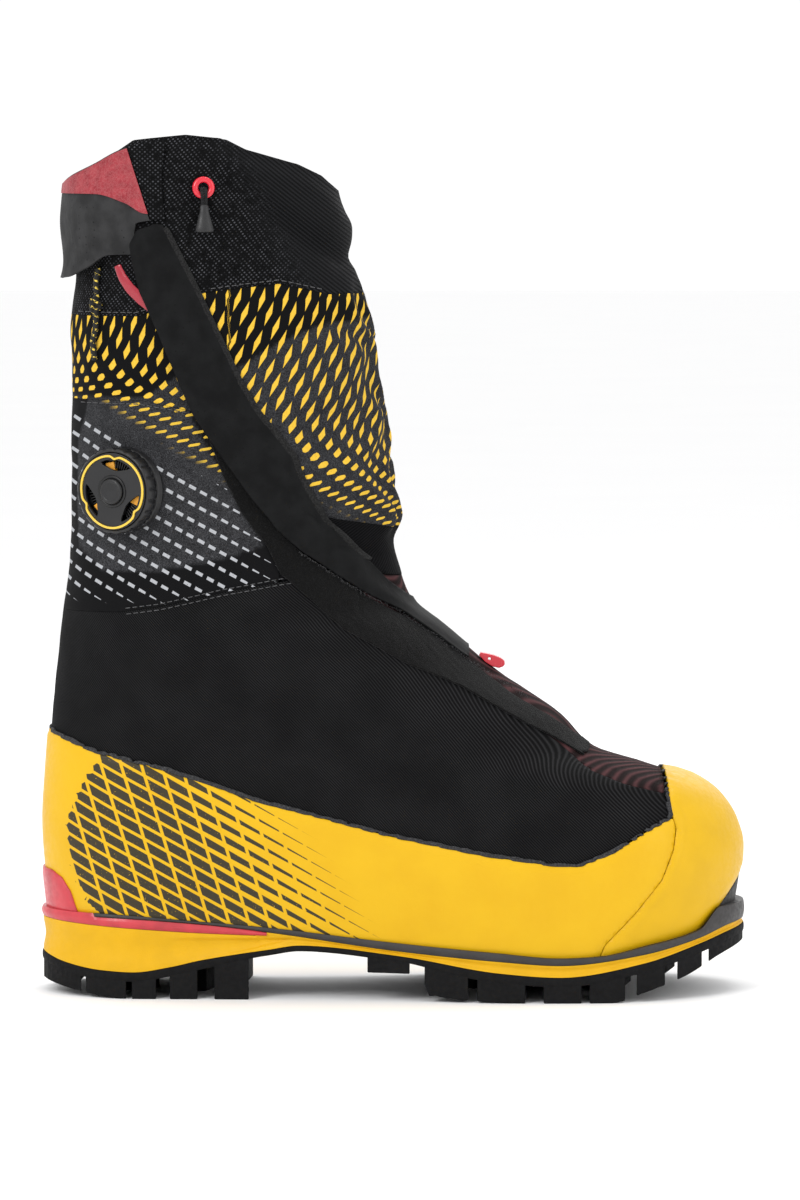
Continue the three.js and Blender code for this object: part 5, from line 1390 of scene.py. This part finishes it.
def dial_pieces():
    # Heights above the cloth, as in the CAD.
    base_top, ratchet_bottom, plate_bottom, plate_top = 2.2, 2.5, 8.4, 10.2
    base = lathe("dial_base", [(12.5, -3.5), (18.3, -3.5), (19.6, -1.0), (18.7, 1.4), (17.6, base_top),
                               (12.5, base_top)], "dial", DIAL_MATRIX, bevel=0.35)
    done(base, "dial_plastic", "dial_base")

    def knurl(angle, k):
        if k not in (1, 2, 3):
            return 0
        wave = math.sin(angle * 22)
        return -0.55 * max(0, wave) ** 2
    grip = lathe("dial_grip", [(16.7, ratchet_bottom + 0.6), (19.1, ratchet_bottom + 0.6), (19.25, 5.5),
                               (19.0, plate_top - 1.2), (18.3, plate_top - 0.5), (17.45, plate_top - 0.4),
                               (17.4, plate_bottom - 0.3), (16.7, plate_bottom - 0.3)],
                 "dial", DIAL_MATRIX, 264, knurl)
    done(grip, "dial_plastic", "dial_grip", body="dial_knob")

    def window(k):
        centre = 2 * math.pi * k / 3 + 1.45
        outer = [polar(14.1, centre + a) for a in np.linspace(-0.62, 0.54, 18)]
        inner = [polar(9.4 + 3.2 * b * b, centre + a)
                 for a, b in zip(np.linspace(0.50, -0.56, 13), np.linspace(1, -1, 13))]
        return [*outer, *inner]
    plate = flat_shape("dial_knob", [circle(17.1), window(0), window(1), window(2), circle(3.4)],
                       plate_bottom, plate_top, "dial", DIAL_MATRIX, 0.3)
    done(plate, "dial_plastic", "dial_knob", body="dial_knob")

    def step_ring(radius):
        ring = []
        for s in range(240):
            a = 2 * math.pi * s / 240
            local = (a - 1.45 + math.pi) % (2 * math.pi / 3)
            notch = 1.15 * math.exp(-((local - 1.05) / 0.11) ** 2) + 0.5 * max(0, math.sin(1.5 * local)) ** 2
            ring.append(polar(radius - notch, a))
        return ring
    trim = flat_shape("dial_trim_ring", [step_ring(16.75), step_ring(15.75)], plate_top - 0.1,
                      plate_top + 0.7, "trim", DIAL_MATRIX, 0.22)
    done(trim, "dial_trim", "dial_trim_ring", body="dial_knob")

    # Pawl disc: orange spokes and black sprung teeth that show through the windows.
    spokes = []
    for k in range(3):
        a = 2 * math.pi * k / 3 + 1.75
        for da, r in ((-0.22, 8.0), (-0.16, 13.1), (0.18, 13.1), (0.26, 8.0)):
            spokes.append(polar(r, a + da))
    pawl = flat_shape("dial_pawl_disc", [spokes, circle(3.4)], 5.2, 8.0, "pawl", DIAL_MATRIX, 0.25)
    done(pawl, "dial_trim", "dial_pawl_disc", body="dial_knob")
    bm = bmesh.new()
    for k in range(3):
        for i in range(6):
            a = 2 * math.pi * k / 3 + 1.02 + i * 0.10
            matrix = Matrix.Rotation(a, 4, "Z") @ Matrix.Translation((11.8, 0, 6.7))
            matrix @= Matrix.Diagonal((3.2, 0.5, 2.2, 1))
            bmesh.ops.create_cube(bm, size=1.0, matrix=matrix)
    teeth = add_object("dial_pawl_teeth", save(bm, bpy.data.meshes.new("dial_pawl_teeth")), "dial_dark")
    place(teeth, DIAL_MATRIX)
    modifier(teeth, "BEVEL", width=0.12 * MM, segments=2)
    apply_all(teeth)
    done(teeth, "dial_plastic", body="dial_knob")
    cap = lathe("dial_cap", [(0.01, 10.0), (5.7, 10.0), (5.8, 11.0), (5.4, 11.7), (4.4, 12.0), (4.1, 11.75),
                             (0.01, 11.9)], "dial", DIAL_MATRIX, 72, bevel=0.15)
    done(cap, "dial_plastic", "dial_cap", body="dial_knob")
    hub = lathe("dial_hub_ring", [(5.9, 10.0), (7.2, 10.0), (7.2, 10.5), (6.9, 10.75), (6.1, 10.75),
                                  (5.9, 10.5)], "dial_dark", DIAL_MATRIX, 72)
    done(hub, "dial_plastic", body="dial_knob")


dial_pieces()


def slider_piece():
    """The zip's slider: a waisted plate with two shoulders, and a bridge that holds the pull band."""
    p, n = skin_lift(-95.6, 309)
    q, _ = skin_lift(-91.3, 299)
    along = (q - p) / np.linalg.norm(q - p)
    side = np.cross(n, along)
    side /= np.linalg.norm(side)
    out = np.cross(along, side)
    at = world(p + out * 2.25)
    matrix = axes(along, side, out, at)
    half = [(-4.75, 1.0), (-4.3, 2.6), (-2.6, 3.0), (1.0, 2.5), (4.1, 2.2), (4.75, 1.3)]
    outline = [*half, *[(x, -y) for x, y in half[::-1]]]
    slider = flat_shape("zip_slider", [outline], -1.0, 0.7, "dial_dark", matrix, 0.35)
    done(slider, "dark_plastic", "zip_slider", body="zip_slider")
    bridge = resample([(-3.2, 0.5), (-2.9, 1.05), (-1.6, 1.3), (1.2, 1.3), (2.5, 1.05), (2.8, 0.5)], 0.4)
    arch = tubes("zip_slider_bridge", [[(x, 0.0, z) for x, z in bridge]], 0.5, 8, "dial_dark", drawn=False)
    done(place(arch, matrix), "dark_plastic", body="zip_slider")


slider_piece()


# ---------------------------------------------------------------- eyelet, cords and tabs
def drawcord_piece():
    """The cord in the channel just below the collar's rim."""
    rim_height = through(RIM)
    laid = []
    for turn in np.linspace(0, 2 * math.pi, 181):
        z = 360.0
        for _ in range(12):
            z = float(rim_height(cloth_point(np.array(turn), np.array(z))[0])) - 8.0
        laid.append(outside(turn, z, -4.3))
    done(tubes("drawcord", [laid], 1.2, 8, "cord"), "cord", "drawcord")


def trims():
    drawcord_piece()
    turn, level = turn_at(*EYELET_SPOT), np.array(EYELET_SPOT[1])
    eye = upright(cloth_normal(turn, level), world(cloth_point(turn, level)))
    ring = [(3.65 + 1.35 * math.cos(a), 0.85 + 1.15 * math.sin(a)) for a in np.linspace(0, 2 * math.pi,
                                                                                        17)[:-1]]
    done(lathe("eyelet", ring, "gloss_red", eye, 72), "red_plastic", "eyelet")
    loop = []
    for side in (-1, 1):
        loop.append([(side * 0.75, -0.2, -3.0), (side * 0.8, -0.4, 0.6), (side * 0.85, -1.6, 2.4),
                     (side * 0.8, -3.6, 3.3), (side * 0.7, -6.5, 3.3), (side * 0.5, -9.0, 3.2)])
    tail = tubes("drawcord_tail", [resample(path, 0.6) for path in loop], 0.8, 10, "cord", drawn=False)
    done(place(tail, eye), "cord", "drawcord_tail")
    cone = [(0.01, 0.0), (1.5, -0.1), (1.9, -0.8), (2.0, -3.0), (3.0, -6.5), (4.0, -10.2), (4.15, -11.4),
            (3.7, -12.2), (0.01, -12.4)]
    hang = eye @ Matrix.Translation((0, -7.6 * MM, 3.3 * MM)) @ Matrix.Rotation(-math.pi / 2, 4, "X")
    hang = hang @ Matrix.Scale(0.62, 4, (0, 1, 0))
    done(lathe("cord_pull", cone, "pull", hang, 64, bevel=0.3), "black_rubber", "cord_pull", body="cord_pull")

    # The zip's pull cord hangs from below the strap.
    route = np.array([(-128.9, 327), (-129.2, 325), (-129.6, 321.5), (-129.9, 318), (-130, 314.2),
                      (-130, 309.9), (-130, 305.6), (-130.6, 300), (-131.4, 294), (-131, 288),
                      (-131.2, 286)])
    line = resample(route, 1.6)
    laid = world(beside(line[:, 0], line[:, 1], 2.0 + 0.35 * np.sin(line[:, 1] / 2.3)))
    cord = tubes("hem_cord", [laid / MM - SHIFT], 1.3, 12, "cord_fleck")
    # A trefoil, which is how an overhand knot closes.
    a = 2 * math.pi * np.arange(60) / 59
    swell = 1 + 0.45 * np.cos(3 * a)
    trefoil = np.stack([1.5 * np.cos(2 * a) * swell, 0.8 * np.sin(3 * a), 1.9 * np.sin(2 * a) * swell], -1)
    knot_points = beside(-130.0, 309.9, 2.6) + trefoil
    knot = tubes("cord_knot", [knot_points], 1.15, 8, "cord_fleck")
    done(knot, "cord", "cord_knot")
    done(cord, "cord", "hem_cord", "hem_cord_tail")


trims()


def tab_piece():
    root = joint_at("instep_tab_flip")
    slope = Matrix.Rotation(math.radians(24), 4, "Y")
    outline = [(0, -0.75), (3.5, -2.3), (7.5, -2.9), (10.5, -2.3), (12.0, -0.9), (12.3, 0.3), (11.6, 1.6),
               (9.5, 2.2), (6.0, 2.1), (3.0, 1.5), (0, 0.8)]
    hole = [(4.9 + 0.7 * math.cos(a), -0.2 + 0.6 * math.sin(a)) for a in np.linspace(0, 2 * math.pi, 21)[:-1]]
    matrix = Matrix.Translation(root * MM) @ slope @ Matrix.Rotation(math.pi / 2, 4, "X")
    tab = flat_shape("instep_tab", [outline, hole], -3.0, 3.0, "gloss_red", matrix, 0.35)
    done(tab, "red_plastic", "instep_tab", body="instep_tab")


tab_piece()


# ---------------------------------------------------------------- the inner boot and what stays of the CAD
def inner_layer(name, look, depth, thick, top, low=30.0, bulge=0.0):
    """A layer of the inner boot, open at the top, with a rounded rim."""
    levels = np.linspace(low, 262, 60)
    turns = np.arange(160) / 160 * 2 * math.pi
    turn, level = np.meshgrid(turns, levels)
    base = cloth_point(turn, level)
    rim = top(base[..., 0])
    stretch = (rim - low) / (262 - low)
    level = low + (level - low) * stretch
    base = cloth_point(turn, level)
    n = cloth_normal(turn, level)
    wave = bulge * np.sin(level / 7.5)
    points = (base - n * (depth(level) - wave)[..., None]).reshape(-1, 3)
    obj = make_object(name, points, grid_faces(60, 160, closed=True), look)
    modifier(obj, "SOLIDIFY", thickness=thick * MM, offset=-1.0)
    bevel_edges(obj, 0.45 * thick, 3, 1.0)
    return apply_all(obj)


def shell_depth(z):
    return 1.3 + 2.6 + 5.5 * smooth(78, 118, z)


def inner_pieces():
    shell = inner_layer("inner_shell", "shell", shell_depth, 2.2,
                        through([[-185, 240], [-100, 241], [-60, 231], [40, 221], [185, 200]]))
    done(shell, "shell_cloth", "inner_shell", "shell_tongue")
    liner = inner_layer("liner_body", "liner", lambda z: shell_depth(z) + 2.9, 4.2,
                        through([[-185, 265], [-60, 262], [185, 245]]), 34.0, 0.35)
    done(liner, "liner_foam", "liner_body", "liner_tongue")
    band = inner_layer("liner_strap", "fuzz", lambda z: shell_depth(z) + 1.9, 0.9,
                       through([[-185, 259], [185, 249]]), 245.0)
    done(band, "hook_loop", "liner_strap")
    low, high = (np.array(c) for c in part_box("liner_pull_loop"))
    y = np.linspace(low[1], high[1], 9)
    x0, x1 = low[0] + 0.0006, high[0] - 0.0006
    side = [(x1, low[2]), (x1 + 0.0001, low[2] + 0.016), (x1 - 0.0004, high[2] - 0.006),
            (x1 - 0.002, high[2] - 0.001), (x0 + 0.002, high[2] - 0.0005), (x0 + 0.0004, high[2] - 0.006),
            (x0, low[2] + 0.018), (x0, low[2] + 0.0115)]
    side = resample(side, 0.0012)
    points = [(x, v, z) for x, z in side for v in y]
    loop = make_object("liner_pull_loop", points, grid_faces(len(side), len(y)), "liner_trim", drawn=False)
    modifier(loop, "SOLIDIFY", thickness=1.3 * MM, offset=0.0)
    apply_all(loop)
    done(loop, "liner_trim", "liner_pull_loop")


inner_pieces()

KEPT = {"lasting_board": "board", "insulating_insole": "felt", "liner_footbed": "liner_trim",
        "lace": "steel", "lace_guide_medial_top": "dial", "lace_guide_lateral": "dial",
        "lace_guide_medial_low": "dial", "dial_ratchet": "dial_dark", "dial_spool": "dial",
        "lace_winding": "steel", "dial_axle": "steel", "dial_screw": "steel", }
for node, look in KEPT.items():
    obj = frame["nodes"][node]
    obj.data.materials.clear()
    obj.data.materials.append(LOOKS[look].mat)

# ---------------------------------------------------------------- floor
bpy.ops.mesh.primitive_plane_add(size=60, location=(0, 0, 0))
floor = bpy.context.object
floor.name = "floor"
pale = Look("pale_floor", (0.94, 0.94, 0.94), 0.9, specular=0.1)
pale.set("Base Color", pale.mix(pale.noise(0.004, 2), (0.95, 0.95, 0.95), (0.93, 0.93, 0.935)))
floor.data.materials.append(pale.mat)

import json
